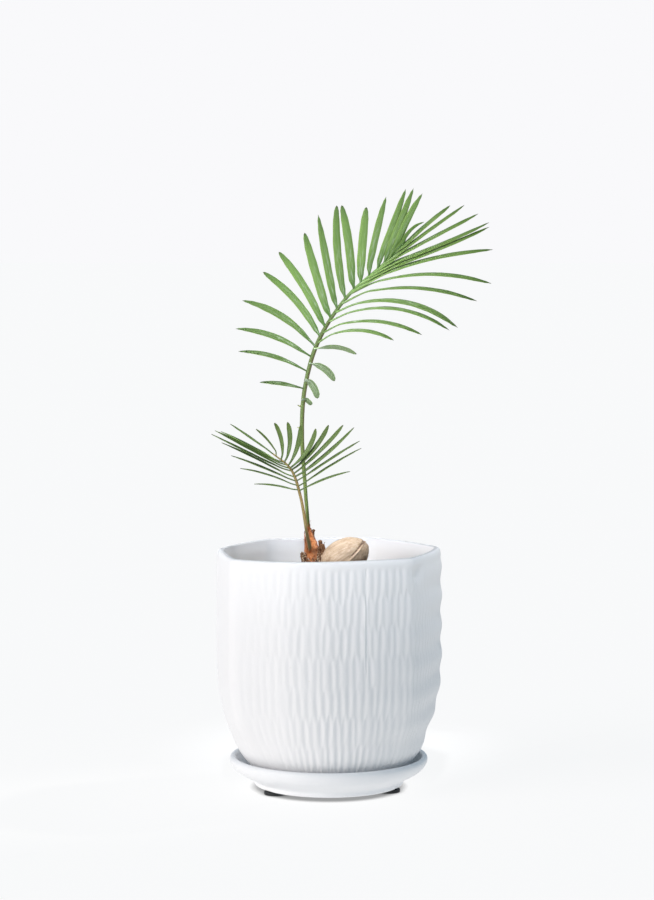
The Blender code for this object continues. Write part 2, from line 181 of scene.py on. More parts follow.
def finish_piece(name, bm, materials, nodes, smooth_angle=40):
    """Turn a bmesh into a piece that rides on the pot and stands for its CAD nodes."""
    mesh = bpy.data.meshes.new(name)
    bm.to_mesh(mesh)
    bm.free()
    for material in materials:
        mesh.materials.append(material)
    mesh.shade_smooth()
    mesh.set_sharp_from_angle(angle=math.radians(smooth_angle))
    piece = bpy.data.objects.new(name, mesh)
    bpy.context.scene.collection.objects.link(piece)
    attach(piece, "root")
    if nodes:
        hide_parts(*nodes)
    return piece


# Black rubber: matt, with a fine moulded grain and a little grey dust
rubber, tree, shader, place = start_material("black_moulded_rubber")
dust = add_node(tree, "ShaderNodeTexNoise", {"Vector": place, "Scale": 1 / (3 * MM), "Detail": 5})
tone = add_node(tree, "ShaderNodeMix",
                {0: dust.outputs[0], 6: linear(RUBBER), 7: linear(RUBBER_DUST)}, data_type="RGBA")
grain = add_node(tree, "ShaderNodeTexNoise", {"Vector": place, "Scale": 1 / (0.25 * MM), "Detail": 3})
relief = add_node(tree, "ShaderNodeBump", {"Height": grain.outputs[0], "Strength": 0.4, "Distance": 0.05 * MM})
tree.links.new(tone.outputs[2], shader.inputs["Base Color"])
tree.links.new(relief.outputs[0], shader.inputs["Normal"])
shader.inputs["Roughness"].default_value = 0.62

for side in ("right", "left", "back"):
    low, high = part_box(f"saucer_foot_{side}")
    bm = bmesh.new()
    pad_radius = (high.x - low.x) / 2
    bmesh.ops.create_cone(bm, cap_ends=True, segments=64, radius1=pad_radius, radius2=pad_radius,
                          depth=high.z - low.z, matrix=Matrix.Translation((low + high) / 2))
    rims = [edge for edge in bm.edges if abs(edge.verts[0].co.z - edge.verts[1].co.z) < PAD_EDGE / 2]
    bmesh.ops.bevel(bm, geom=rims, offset=PAD_EDGE, segments=4, profile=0.5, affect="EDGES", material=-1)
    finish_piece(f"rubber_pad_{side}", bm, [rubber], [f"saucer_foot_{side}"], 60)


# ---------------------------------------------------------------- Saucer
# A jigger-turned white stoneware saucer with a rounded upright lip and a low turned foot. The pot stands
# loose in it. Its glaze is thin and satin.
SAUCER_STEPS = 256
# The half section in millimetres, from the middle of the underside round to the middle of the floor:
# each run is its points and the number of pieces that it is cut into
SAUCER_RUNS = [([(0, 2.5), (48, 2.5)], 4),
               ([(48, 2.5), (49.8, 2.5), (51.1, 3.0), (51.5, 4.3)], 6),
               ([(51.5, 4.3), (51.6, 5.6), (53.5, 7.2), (58.5, 9.6), (64.0, 13.1), (66.8, 16.2), (68, 19.2),
                 (67.6, 21.4), (65.9, 22.4), (64.2, 21.6), (63.4, 19.5), (61.6, 16.6), (57.3, 13.4),
                 (50.3, 9.6), (45, 8.3)], 64),
               ([(45, 8.3), (0, 8.3)], 4)]
SAUCER_WOBBLE = 0.25 * MM
GLAZE, GLAZE_THIN = "#F8FAFC", "#F2F4F7"


def smooth_line(points, pieces):
    """Points that cut a smooth curve through the given ones into equal pieces."""
    stops = [Vector(point) for point in points]
    tangents = [stops[min(i + 1, len(stops) - 1)] - stops[max(i - 1, 0)] for i in range(len(stops))]
    dense = [stops[0]]
    for start, end, leave, arrive in zip(stops, stops[1:], tangents, tangents[1:]):
        reach = (end - start).length / 3
        handles = start + leave.normalized() * reach, end - arrive.normalized() * reach
        dense += interpolate_bezier(start, *handles, end, 24)[1:]
    travelled = [0.0]
    for start, end in zip(dense, dense[1:]):
        travelled.append(travelled[-1] + (end - start).length)
    line, here = [], 0
    for index in range(pieces):
        distance = travelled[-1] * index / pieces
        while travelled[here + 1] < distance:
            here += 1
        share = (distance - travelled[here]) / (travelled[here + 1] - travelled[here])
        line.append(dense[here].lerp(dense[here + 1], share))
    return line + [dense[-1]]


def spin_runs(runs, steps, closed=False):
    """Spin the runs of a half section, in millimetres, about the upright axis. Each vertex keeps its run's
    number in the "run" layer."""
    bm = bmesh.new()
    run_layer = bm.verts.layers.int.new("run")
    corners = []
    for number, (points, pieces) in enumerate(runs):
        for point in smooth_line([(radius, 0, height) for radius, height in points], pieces)[:-1]:
            corners.append(bm.verts.new(point * MM))
            corners[-1][run_layer] = number
    last_radius, last_height = runs[-1][0][-1]
    if closed:
        corners.append(corners[0])
    else:
        corners.append(bm.verts.new(Vector((last_radius, 0, last_height)) * MM))
        corners[-1][run_layer] = len(runs) - 1
    edges = [bm.edges.new(pair) for pair in zip(corners, corners[1:])]
    bmesh.ops.spin(bm, geom=bm.verts[:] + edges, cent=(0, 0, 0), axis=(0, 0, 1), angle=2 * math.pi,
                   steps=steps, use_merge=True)
    bmesh.ops.remove_doubles(bm, verts=bm.verts[:], dist=0.005 * MM)
    bmesh.ops.recalc_face_normals(bm, faces=bm.faces[:])
    return bm


# White stoneware under a thin satin glaze: even, a little cooler where the glaze is thin
satin_glaze, tree, shader, place = start_material("white_satin_glazed_stoneware")
cloud = add_node(tree, "ShaderNodeTexNoise", {"Vector": place, "Scale": 1 / (14 * MM), "Detail": 4})
tone = add_node(tree, "ShaderNodeMix",
                {0: cloud.outputs[0], 6: linear(GLAZE), 7: linear(GLAZE_THIN)}, data_type="RGBA")
grain = add_node(tree, "ShaderNodeTexNoise", {"Vector": place, "Scale": 1 / (0.5 * MM), "Detail": 3})
relief = add_node(tree, "ShaderNodeBump", {"Height": grain.outputs[0], "Strength": 0.25, "Distance": 0.04 * MM})
gloss = add_node(tree, "ShaderNodeMapRange", {"Value": cloud.outputs[0], "To Min": 0.38, "To Max": 0.52})
tree.links.new(tone.outputs[2], shader.inputs["Base Color"])
tree.links.new(gloss.outputs[0], shader.inputs["Roughness"])
tree.links.new(relief.outputs[0], shader.inputs["Normal"])
shader.inputs["IOR"].default_value = 1.5
shader.inputs["Specular IOR Level"].default_value = 0.4

bm = spin_runs(SAUCER_RUNS, SAUCER_STEPS)
low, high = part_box("saucer")
saucer_middle = Vector(((low.x + high.x) / 2, (low.y + high.y) / 2, 0))
for vert in bm.verts:
    outwards = Vector((vert.co.x, vert.co.y, 0))
    if outwards.length > 55 * MM:
        wobble = noise.noise(outwards.normalized() * 1.3) * SAUCER_WOBBLE
        vert.co += outwards.normalized() * wobble
    vert.co += saucer_middle
finish_piece("saucer_dish", bm, [satin_glaze], ["saucer"], 60)


# ---------------------------------------------------------------- Pot
# A slip-cast white porcelain pot, left unglazed outside. Its plan has eight soft corners, and its wall was
# carved in rows of short upright grooves, row over row, before firing. The rim is wiped round by hand.
drain = next(space for space in frame["record"]["physics"]["openings"] if space["name"] == "drain_hole")
drain_low, drain_high = (Vector(corner) for corner in drain["box_m"])
POT_AXIS = Vector(((drain_low.x + drain_high.x) / 2, (drain_low.y + drain_high.y) / 2, 0))
POT_STEPS = 768
OUTSIDE, RIM, WALL, FLOOR = range(4)
POT_RUNS = [([(43, 8.6), (47.3, 9.8), (51, 12.5), (56, 17.5), (61, 24), (65.2, 32), (69.5, 43), (72.8, 54),
              (75, 65), (76.2, 78), (76.8, 97), (76.7, 120), (76.5, 145), (76.1, 159.5)], 92),
            ([(76.1, 159.5), (75.9, 161.6), (75.1, 163.5), (73.8, 164.3), (72.3, 164.4), (71.4, 163.6)], 12),
            ([(71.4, 163.6), (71.2, 157), (71.8, 150), (72.6, 130), (72.6, 100), (71.5, 74), (68.3, 54),
              (63.5, 38), (56, 25), (48.5, 17.6), (41, 14.6)], 18),
            ([(41, 14.6), (7, 14.6)], 2), ([(7, 14.6), (7, 8.6)], 1), ([(7, 8.6), (43, 8.6)], 2)]
# The plan at the rim: (angle, radius) of each soft corner, anticlockwise from the right
POT_CORNERS = [(11, 76.5), (66, 77), (126, 77), (176, 75.5), (219, 86), (258, 75.5), (292, 69), (315, 75.5)]
CORNER_SHARPNESS, PLAN_ROUND, PLAN_MEAN = 0.65, 75.0, 73.8
CORNER_SOFTNESS = {258: 13, 292: 13, 315: -1.7}     # the two front corners are nearly lost; the next is crisp
CRISP_SOFTNESS = 3.2
FACETS_FROM, FACETS_FULL = 10.0, 60.0
RIM_DIP, RIM_DIP_ANGLE, RIM_DIP_SPREAD, RIM_DIP_FROM, RIM_TOP = 1.0, 225, 30, 145.0, 164.4

# The grooves: each row's middle height, and how far its first groove stands past the front
FRONT = 270
GROOVE_ROWS = [(149.5, -2.1), (131.0, 0.0), (110.5, -1.6), (90.0, 1.1), (69.5, 1.6), (49.0, -1.1),
               (29.0, 0.5), (13.0, 2.4)]
GROOVE_COUNT = 86
GROOVE_PITCH = 360 / GROOVE_COUNT
GROOVE_REACH, GROOVE_DEPTH = 12.0, 0.58
GROOVES_STOP = (155.5, 161.0)           # they fade out below the rim between these heights
# The left front and the far right were carved more lightly: (middle, spread, how much)
FAINT_SIDES = [(213, 40, 0.8), (344, 25, 0.5)]
# Between two rows the wall is pinched in a little, most of all at the right-hand corner
PINCH, PINCH_PITCH, PINCH_MIDDLE = 0.16, 20.4, 131.0
PINCH_CORNER, PINCH_CORNER_ANGLE, PINCH_CORNER_SPREAD = 0.55, 8, 50
# One seam of the mould was left: a fine upright ridge with a nick beside it
SEAM_ANGLE, SEAM_LOW, SEAM_HIGH, NICK_LOW, NICK_HIGH = 288.7, 84, 145, 151, 162
SEAM_RIDGE, SEAM_NICK, SEAM_WIDTH = 0.18, 0.34, 0.5
# A thumb's dent under the rim at the right-hand front corner: angle, height, their spreads, depth
DENT_ANGLE, DENT_HEIGHT, DENT_SPREAD, DENT_TALL, DENT_DEPTH = 320, 153, 5, 5.5, 2.8
SEAM_PULL, SEAM_PULL_SPREAD = 0.62, 3.2     # the mesh is drawn together here, so that the line stays fine
BISQUE, BISQUE_WARM, BISQUE_FLECK = "#F3F4F6", "#F0F1F2", "#CFCBC4"
# Inside, the porcelain is painted a little greyer from these heights up to the middle of the wiped rim, except on the
# lit right-hand side: painted shade
RIM_SHADE_EDGE = 74.8
INNER_PAINTED_SHADE_GREY, SHADE_FROM, SHADE_FULL = "#C9CACD", 151.0, 162.5


def smooth_step(value):
    """Ease from 0 to 1 as the value goes from 0 to 1."""
    value = min(max(value, 0.0), 1.0)
    return value * value * (3 - 2 * value)


def turn_between(angle, other):
    """How far an angle is past another, from -180 to 180 degrees."""
    return (angle - other + 180) % 360 - 180


def bell(value, spread):
    """1 at zero, falling away smoothly over the spread."""
    return math.exp(-(value / spread) ** 2)


def sharp_radius(angle):
    """The radius of the pot's eight-sided plan in millimetres, at an angle in degrees."""
    corners = POT_CORNERS + [(POT_CORNERS[0][0] + 360, POT_CORNERS[0][1])]
    while angle < corners[0][0]:
        angle += 360
    for (angle_a, radius_a), (angle_b, radius_b) in zip(corners, corners[1:]):
        if angle <= angle_b:
            span, first, second = (math.radians(turn) for turn in
                                   (angle_b - angle_a, angle - angle_a, angle_b - angle))
            flat = radius_a * radius_b * math.sin(span) / (radius_a * math.sin(first)
                                                           + radius_b * math.sin(second))
            return CORNER_SHARPNESS * flat + (1 - CORNER_SHARPNESS) * PLAN_ROUND


def plan_radius(angle):
    """The pot's radius at the rim in millimetres, with its corners rounded over."""
    soft = CRISP_SOFTNESS
    for corner, softness in CORNER_SOFTNESS.items():
        soft += (softness - CRISP_SOFTNESS) * bell(turn_between(angle, corner), 22)
    return sum(sharp_radius(angle + soft * step / 3) for step in range(-3, 4)) / 7


def make_faceted(bm):
    """Push a turned pot shape out or in, so that its plan has soft corners."""
    for vert in bm.verts:
        angle = math.degrees(math.atan2(vert.co.y, vert.co.x)) % 360
        height = vert.co.z / MM
        share = smooth_step((height - FACETS_FROM) / (FACETS_FULL - FACETS_FROM))
        stretch = 1 + share * (plan_radius(angle) / PLAN_MEAN - 1)
        vert.co.x *= stretch
        vert.co.y *= stretch
        dip = RIM_DIP * bell(turn_between(angle, RIM_DIP_ANGLE), RIM_DIP_SPREAD)
        vert.co.z -= dip * smooth_step((height - RIM_DIP_FROM) / (RIM_TOP - RIM_DIP_FROM)) * MM


def draw_together(bm):
    """Turn the vertices near the mould seam towards it, so that they stand closer there."""
    for vert in bm.verts:
        past = turn_between(math.degrees(math.atan2(vert.co.y, vert.co.x)), SEAM_ANGLE)
        pull = -past * SEAM_PULL * bell(past, SEAM_PULL_SPREAD)
        vert.co.rotate(Matrix.Rotation(math.radians(pull), 3, "Z"))


pot_random = random.Random(11)
grooves = [[(pot_random.uniform(-0.17, 0.17), pot_random.uniform(-0.03, 0.03), pot_random.uniform(-2.2, 2.2),
             pot_random.uniform(0.84, 1.12), pot_random.uniform(0.6, 1.25)) for column in range(GROOVE_COUNT)]
           for row in GROOVE_ROWS]


def groove_depth(angle, height):
    """How deep the carving is at a place on the wall, in millimetres."""
    deepest = 0.0
    for row, (middle, start) in enumerate(GROOVE_ROWS):
        if abs(height - middle) > GROOVE_REACH + 4:
            continue
        column = round((angle - FRONT - start) / GROOVE_PITCH)
        for near in (column - 1, column, column + 1):
            shift, lean, rise, reach, depth = grooves[row][near % GROOVE_COUNT]
            up = height - middle - rise
            end = up / (GROOVE_REACH * reach)
            if abs(end) >= 1:
                continue
            taper = (1 - end * end) ** 0.5
            middle_angle = FRONT + start + (near + shift) * GROOVE_PITCH + lean * up
            across = abs(turn_between(angle, middle_angle)) / (0.5 * GROOVE_PITCH * (0.45 + 0.6 * taper))
            if across < 1:
                cut = depth * taper ** 0.8 * (0.5 + 0.5 * math.cos(math.pi * across))
                deepest = max(deepest, cut)
    for side, spread, share in FAINT_SIDES:
        deepest *= 1 - share * bell(turn_between(angle, side), spread)
    return deepest * GROOVE_DEPTH


def carve(bm):
    """Cut the grooves, the pinched rows and the mould seam into the outside of the pot."""
    bm.normal_update()
    run_layer = bm.verts.layers.int["run"]
    moves = []
    for vert in bm.verts:
        if vert[run_layer] != OUTSIDE:
            continue
        angle = math.degrees(math.atan2(vert.co.y, vert.co.x)) % 360
        height = vert.co.z / MM
        fade = 1 - smooth_step((height - GROOVES_STOP[0]) / (GROOVES_STOP[1] - GROOVES_STOP[0]))
        corner = PINCH_CORNER * bell(turn_between(angle, PINCH_CORNER_ANGLE), PINCH_CORNER_SPREAD)
        swell = math.cos(2 * math.pi * (height - PINCH_MIDDLE) / PINCH_PITCH) * (PINCH + corner)
        patch = 0.25 * noise.noise(Vector((math.radians(angle) * 3, height / 17, 4)))
        lift = (swell + patch) * fade * smooth_step((height - 14) / 20) - groove_depth(angle, height) * fade
        if SEAM_LOW < height:
            wander = 0.35 * noise.noise(Vector((height / 14, 2, 7)))
            past = turn_between(angle, SEAM_ANGLE) * math.radians(1) * PLAN_MEAN + wander
            line = smooth_step((height - SEAM_LOW) / 12) * smooth_step((SEAM_HIGH - height) / 8)
            line += smooth_step((height - NICK_LOW) / 4) * smooth_step((NICK_HIGH - height) / 4)
            lift += line * (SEAM_RIDGE * bell(past + SEAM_WIDTH, SEAM_WIDTH)
                            - SEAM_NICK * bell(past - SEAM_WIDTH, SEAM_WIDTH))
        dent = bell(turn_between(angle, DENT_ANGLE), DENT_SPREAD) * bell(height - DENT_HEIGHT, DENT_TALL)
        lift -= DENT_DEPTH * dent
        moves.append((vert, lift))
    for vert, lift in moves:
        vert.co += vert.normal * lift * MM


# Unglazed white porcelain: a dry, even, slightly translucent skin with a fine tooth and a rare iron fleck
bisque, tree, shader, place = start_material("unglazed_white_porcelain")
cloud = add_node(tree, "ShaderNodeTexNoise", {"Vector": place, "Scale": 1 / (22 * MM), "Detail": 5})
tone = add_node(tree, "ShaderNodeMix",
                {0: cloud.outputs[0], 6: linear(BISQUE), 7: linear(BISQUE_WARM)}, data_type="RGBA")
cells = add_node(tree, "ShaderNodeTexVoronoi", {"Vector": place, "Scale": 1 / (13 * MM)})
fleck = add_node(tree, "ShaderNodeMapRange",
                 {"Value": cells.outputs["Distance"], "From Min": 0.012, "From Max": 0.026, "To Min": 0.8,
                  "To Max": 0.0})
flecked = add_node(tree, "ShaderNodeMix",
                   {0: fleck.outputs[0], 6: tone.outputs[2], 7: linear(BISQUE_FLECK)}, data_type="RGBA")
tooth = add_node(tree, "ShaderNodeTexNoise", {"Vector": place, "Scale": 1 / (0.45 * MM), "Detail": 4})
scrape = add_node(tree, "ShaderNodeTexNoise", {"Vector": place, "Scale": 1 / (2.5 * MM), "Detail": 3})
both = add_node(tree, "ShaderNodeMath", {0: scrape.outputs[0], 1: 3.0, 2: tooth.outputs[0]},
                operation="MULTIPLY_ADD")
relief = add_node(tree, "ShaderNodeBump", {"Height": both.outputs[0], "Strength": 0.35, "Distance": 0.05 * MM})
# painted shade: the inner wall below the rim and the inner half of the rim top are mixed towards grey
inner_painted_shade = add_node(tree, "ShaderNodeAttribute", attribute_name="inner_painted_shade")
inner_shaded = add_node(tree, "ShaderNodeMix",
                  {0: inner_painted_shade.outputs["Fac"], 6: flecked.outputs[2], 7: linear(INNER_PAINTED_SHADE_GREY)}, data_type="RGBA")
tree.links.new(inner_shaded.outputs[2], shader.inputs["Base Color"])
tree.links.new(relief.outputs[0], shader.inputs["Normal"])
shader.inputs["Roughness"].default_value = 0.6
shader.inputs["IOR"].default_value = 1.5
shader.inputs["Specular IOR Level"].default_value = 0.25

bm = spin_runs(POT_RUNS, POT_STEPS, closed=True)
run_layer, inner_painted_shade_layer = bm.verts.layers.int["run"], bm.verts.layers.float.new("inner_painted_shade")
# the painted shade inside fades out on the right-hand side, where the light falls on the inner wall
for vert in bm.verts:
    if vert[run_layer] == WALL:
        past_right = turn_between(math.degrees(math.atan2(vert.co.y, vert.co.x)), 10)
        vert[inner_painted_shade_layer] = (smooth_step((vert.co.z / MM - SHADE_FROM) / (SHADE_FULL - SHADE_FROM))
                              * (1 - bell(past_right, 42)))
    if vert[run_layer] == RIM:
        vert[inner_painted_shade_layer] = smooth_step((RIM_SHADE_EDGE - vert.co.to_2d().length / MM) / 1.4)
draw_together(bm)
make_faceted(bm)
carve(bm)
bmesh.ops.translate(bm, verts=bm.verts[:], vec=POT_AXIS)
finish_piece("porcelain_pot", bm, [bisque], ["pot"], 60)


# ---------------------------------------------------------------- Potting soil
# A free-draining mix of peat and composted bark with some perlite, filled to about 16 mm below the rim.
# Its top is loose crumbs and chips.
SOIL_RUNS = [([(0, 15.0), (40.3, 15.0)], 3),
             ([(40.3, 15.0), (47.8, 18), (55.3, 25.4), (62.8, 38.4), (67.6, 54.4), (70.8, 74), (71.9, 100),
               (71.9, 130), (71.3, 146)], 12),
             ([(71.3, 146), (70.6, 147.3), (66, 147.6), (48, 148.3), (28, 148.6), (12, 148.4), (0, 148.4)], 60)]
SOIL_STEPS = 200
CRUMB_HEIGHT, CRUMB_SIZE = 0.9, 2.6
BACK_DROP = 3.6         # the mix lies this much lower towards the back
CHIP_COUNT, PERLITE_COUNT, CHIP_CIRCLE = 620, 60, 69.0
CHIP_SIZES, PERLITE_SIZES = (0.7, 2.4), (0.6, 1.3)
PEAT, PEAT_LIGHT, BARK, BARK_LIGHT, PERLITE = "#33261C", "#574231", "#4A3323", "#7A583B", "#DAD5CA"

# Peat: nearly black-brown, fibrous, fully matt
peat, tree, shader, place = start_material("peat_and_bark_compost")
clods = add_node(tree, "ShaderNodeTexNoise", {"Vector": place, "Scale": 1 / (2.2 * MM), "Detail": 8})
fibre = add_node(tree, "ShaderNodeMapRange",
                 {"Value": clods.outputs[0], "From Min": 0.42, "From Max": 0.68, "To Min": 0, "To Max": 1})
tone = add_node(tree, "ShaderNodeMix",
                {0: fibre.outputs[0], 6: linear(PEAT), 7: linear(PEAT_LIGHT)}, data_type="RGBA")
relief = add_node(tree, "ShaderNodeBump", {"Height": clods.outputs[0], "Strength": 0.9, "Distance": 0.5 * MM})
tree.links.new(tone.outputs[2], shader.inputs["Base Color"])
tree.links.new(relief.outputs[0], shader.inputs["Normal"])
shader.inputs["Roughness"].default_value = 0.95

# Bark chips: drawn-out grain from mid to dark brown
bark, tree, shader, place = start_material("composted_pine_bark")
grain = add_node(tree, "ShaderNodeTexNoise", {"Vector": place, "Scale": 1 / (0.8 * MM), "Detail": 6})
tone = add_node(tree, "ShaderNodeMix",
                {0: grain.outputs[0], 6: linear(BARK), 7: linear(BARK_LIGHT)}, data_type="RGBA")
relief = add_node(tree, "ShaderNodeBump", {"Height": grain.outputs[0], "Strength": 0.7, "Distance": 0.3 * MM})
tree.links.new(tone.outputs[2], shader.inputs["Base Color"])
tree.links.new(relief.outputs[0], shader.inputs["Normal"])
shader.inputs["Roughness"].default_value = 0.9

# Perlite: puffed white volcanic glass, dull and pitted
perlite, tree, shader, place = start_material("expanded_perlite")
pits = add_node(tree, "ShaderNodeTexNoise", {"Vector": place, "Scale": 1 / (0.3 * MM), "Detail": 4})
tone = add_node(tree, "ShaderNodeMix",
                {0: pits.outputs[0], 6: linear(PERLITE), 7: linear("#B9AF9F")}, data_type="RGBA")
tree.links.new(tone.outputs[2], shader.inputs["Base Color"])
shader.inputs["Roughness"].default_value = 0.9


def seed_or_stem_near(point, room):
    """Whether a point on the soil is within the room around the seed or the stem."""
    for node in ("seed", "caudex"):
        low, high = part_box(node)
        if low.x - room < point.x < high.x + room and low.y - room < point.y < high.y + room:
            return True
    return False


bm = spin_runs(SOIL_RUNS, SOIL_STEPS)
make_faceted(bm)
run_layer = bm.verts.layers.int["run"]
for vert in bm.verts:
    if vert[run_layer] == 2:
        rough = noise.fractal(vert.co / (CRUMB_SIZE * MM), 1.0, 2.0, 4)
        vert.co.z += rough * CRUMB_HEIGHT * MM
        vert.co.z -= BACK_DROP * MM * smooth_step((vert.co.y / MM - 18) / 30)
bmesh.ops.translate(bm, verts=bm.verts[:], vec=POT_AXIS)
soil_random = random.Random(5)
for number in range(CHIP_COUNT + PERLITE_COUNT):
    is_chip = number < CHIP_COUNT
    turn, reach = soil_random.uniform(0, 2 * math.pi), CHIP_CIRCLE * MM * soil_random.random() ** 0.5
    spot = POT_AXIS + Vector((reach * math.cos(turn), reach * math.sin(turn), 148.7 * MM))
    spot.z -= BACK_DROP * MM * smooth_step((spot.y / MM - 18) / 30)
    size = soil_random.uniform(*(CHIP_SIZES if is_chip else PERLITE_SIZES)) * MM
    flat = Vector((1, soil_random.uniform(0.4, 0.9), soil_random.uniform(0.25, 0.6))) if is_chip else Vector((1, 1, 0.9))
    spin = Matrix.Rotation(soil_random.uniform(0, 6.3), 4, "Z") @ Matrix.Rotation(soil_random.gauss(0, 0.4), 4, "X")
    if seed_or_stem_near(spot, -3 * MM):
        continue
    before = set(bm.faces)
    bmesh.ops.create_icosphere(bm, subdivisions=1, radius=size,
                               matrix=Matrix.Translation(spot) @ spin @ Matrix.Diagonal((*flat, 1)))
    for face in set(bm.faces) - before:
        face.material_index = 1 if is_chip else 2
finish_piece("potting_mix", bm, [peat, bark, perlite], ["soil"], 35)


# ---------------------------------------------------------------- Seed
# The palm's own big woody seed, which still lies half sunk beside the stem. Its shell is hard, dry and tan,
# with fine streaks from end to end, and a raised rib crosses its blunt end.
SEED_TILT = 30
SEED_HALF_LENGTH, SEED_HALF_WIDTH, SEED_HALF_HEIGHT = 17.5, 12.8, 12.6
SEED_BLUNT = 0.07
RIB_HEIGHT, RIB_WIDTH, PIT_ASIDE, PIT_DEPTH = 0.75, 0.75, 1.25, 0.65
SHELL, SHELL_PALE, SHELL_DARK, SHELL_SPECKS_AND_SHADE = "#B49B7F", "#CCB7A0", "#947354", "#5E4230"

low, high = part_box("seed")
seed_middle = (low + high) / 2
# Two places on the rib, seen from the front (right of and above the seed's middle, in millimetres)
RIB_ENDS = Vector((12.6, 0, 9.9)), Vector((1.6, 0, -2.2))

# Seed shell: streaked tan wood, silky, paler in streaks and along its rib; darker in its pits and wrinkles, with
# painted shade on the front past the rib
seed_shell, tree, shader, place = start_material("dry_cycad_seed_shell")
along = add_node(tree, "ShaderNodeAttribute", attribute_name="streak")
turned = add_node(tree, "ShaderNodeMapping",
                  {"Vector": along.outputs["Vector"], "Scale": (1 / (9 * MM), 1 / (0.9 * MM), 1 / (0.9 * MM))})
streaks = add_node(tree, "ShaderNodeTexNoise", {"Vector": turned.outputs[0], "Scale": 1, "Detail": 5})
blotch = add_node(tree, "ShaderNodeTexNoise", {"Vector": place, "Scale": 1 / (5 * MM), "Detail": 4})
pale = add_node(tree, "ShaderNodeMapRange",
                {"Value": streaks.outputs[0], "From Min": 0.35, "From Max": 0.65})
first = add_node(tree, "ShaderNodeMix",
                 {0: pale.outputs[0], 6: linear(SHELL), 7: linear(SHELL_PALE)}, data_type="RGBA")
stain = add_node(tree, "ShaderNodeMapRange",
                 {"Value": blotch.outputs[0], "From Min": 0.52, "From Max": 0.72, "To Max": 0.55})
second = add_node(tree, "ShaderNodeMix",
                  {0: stain.outputs[0], 6: first.outputs[2], 7: linear(SHELL_DARK)}, data_type="RGBA")
darkening = add_node(tree, "ShaderNodeAttribute", attribute_name="shade")
third = add_node(tree, "ShaderNodeMix",
                 {0: darkening.outputs["Fac"], 6: second.outputs[2], 7: linear(SHELL_SPECKS_AND_SHADE)}, data_type="RGBA")
specks = add_node(tree, "ShaderNodeTexNoise", {"Vector": place, "Scale": 1 / (0.8 * MM), "Detail": 2})
dots = add_node(tree, "ShaderNodeMapRange",
                {"Value": specks.outputs[0], "From Min": 0.66, "From Max": 0.74, "To Max": 0.6})
fourth = add_node(tree, "ShaderNodeMix",
                  {0: dots.outputs[0], 6: third.outputs[2], 7: linear(SHELL_SPECKS_AND_SHADE)}, data_type="RGBA")
relief = add_node(tree, "ShaderNodeBump", {"Height": streaks.outputs[0], "Strength": 0.6, "Distance": 0.25 * MM})
tree.links.new(fourth.outputs[2], shader.inputs["Base Color"])
tree.links.new(relief.outputs[0], shader.inputs["Normal"])
shader.inputs["Roughness"].default_value = 0.58

bm = bmesh.new()
bmesh.ops.create_uvsphere(bm, u_segments=144, v_segments=96, radius=1,
                          matrix=Matrix.Rotation(math.radians(90), 4, "Y"))
streak_layer = bm.verts.layers.float_vector.new("streak")
shade_layer = bm.verts.layers.float.new("shade")
tilt = Matrix.Rotation(-math.radians(SEED_TILT), 3, "Y")
rib_along = (RIB_ENDS[0] - RIB_ENDS[1]).normalized()
rib_across = Vector((rib_along.z, 0, -rib_along.x))
for vert in bm.verts:
    x, y, z = vert.co
    girth = 1 - SEED_BLUNT * x
    shape = Vector((x * SEED_HALF_LENGTH, y * girth * SEED_HALF_WIDTH, z * girth * SEED_HALF_HEIGHT))
    vert[streak_layer] = shape * MM
    spot = tilt @ shape
    out = (tilt @ Vector((x / SEED_HALF_LENGTH, y / SEED_HALF_WIDTH, z / SEED_HALF_HEIGHT))).normalized()
    # the rib runs over the front from the top of the blunt end down to the middle
    past = (spot - RIB_ENDS[1]).dot(rib_along)
    aside = (spot - RIB_ENDS[1]).dot(rib_across) - 0.5 * math.sin(past / 6)
    faces_front = smooth_step((-out.y + 0.35) / 0.4)
    runs = smooth_step((past + 3) / 4) * faces_front
    rib = bell(aside, RIB_WIDTH) * runs
    # a row of dark pits follows the rib on its upper side, and one sits at its end
    broken = smooth_step(noise.noise(Vector((past / 1.3, 3, 5))) * 2 + 0.95)
    pit = bell(aside + PIT_ASIDE, RIB_WIDTH * 0.7) * runs * broken * smooth_step((past - 2) / 4)
    pit = max(pit, bell(past - 16.2, 1.5) * bell(aside + 0.4, 1.3) * faces_front)
    coarse = noise.fractal(shape / 5.0, 1.0, 2.0, 3) * 0.28
    fine = noise.noise(Vector((shape.x / 7, shape.y / 0.9, shape.z / 0.9))) * 0.2
    spot += out * (coarse + fine + rib * RIB_HEIGHT - pit * PIT_DEPTH)
    # painted shade: the face between the rib and the right-hand end is darkened
    shaded_side = smooth_step((aside - 0.9) / 1.4) * smooth_step((past + 2) / 6) * faces_front
    wrinkle = smooth_step((noise.noise(Vector((shape.x / 11, shape.y / 1.4, shape.z / 1.4))) - 0.22) / 0.3)
    dark = pit * 1.1 + shaded_side * 0.3 + 0.12 * max(0.0, coarse) + 0.2 * wrinkle - 0.25 * rib
    vert[shade_layer] = min(1.0, max(0.0, dark))
    vert.co = seed_middle + spot * MM
finish_piece("cycad_seed", bm, [seed_shell], ["seed"], 70)


# ---------------------------------------------------------------- Caudex
# The young palm's swollen stem. It is wrapped in overlapping scale leaves covered with orange-brown wool,
# and one of them sheathes the foot of the tall frond. Dark frayed stubs of old leaf bases stand beside it.
CORE_SIDES, CORE_PIECES = 48, 60
# The woolly core from its foot in the soil upwards: middle x, y, z and half width, from the pot's axis
CORE = [(-12.3, 3.0, 137.0, 3.5), (-12.3, 3.0, 142, 4.6), (-12.4, 3.0, 150, 3.7), (-12.6, 3.0, 156, 3.5),
        (-12.7, 3.0, 160, 4.0), (-12.7, 3.0, 163, 4.3), (-12.6, 3.0, 165, 4.15), (-13.1, 3.1, 168, 3.6), (-13.9, 3.4, 171, 2.9),
        (-14.4, 3.8, 174, 2.3), (-14.8, 4.1, 177, 1.7), (-14.9, 4.3, 179, 1.2)]
FLUFF, FLUTE_COUNT, FLUTE_DEPTH, WOOL_SEED = 0.13, 9, 0.14, 7
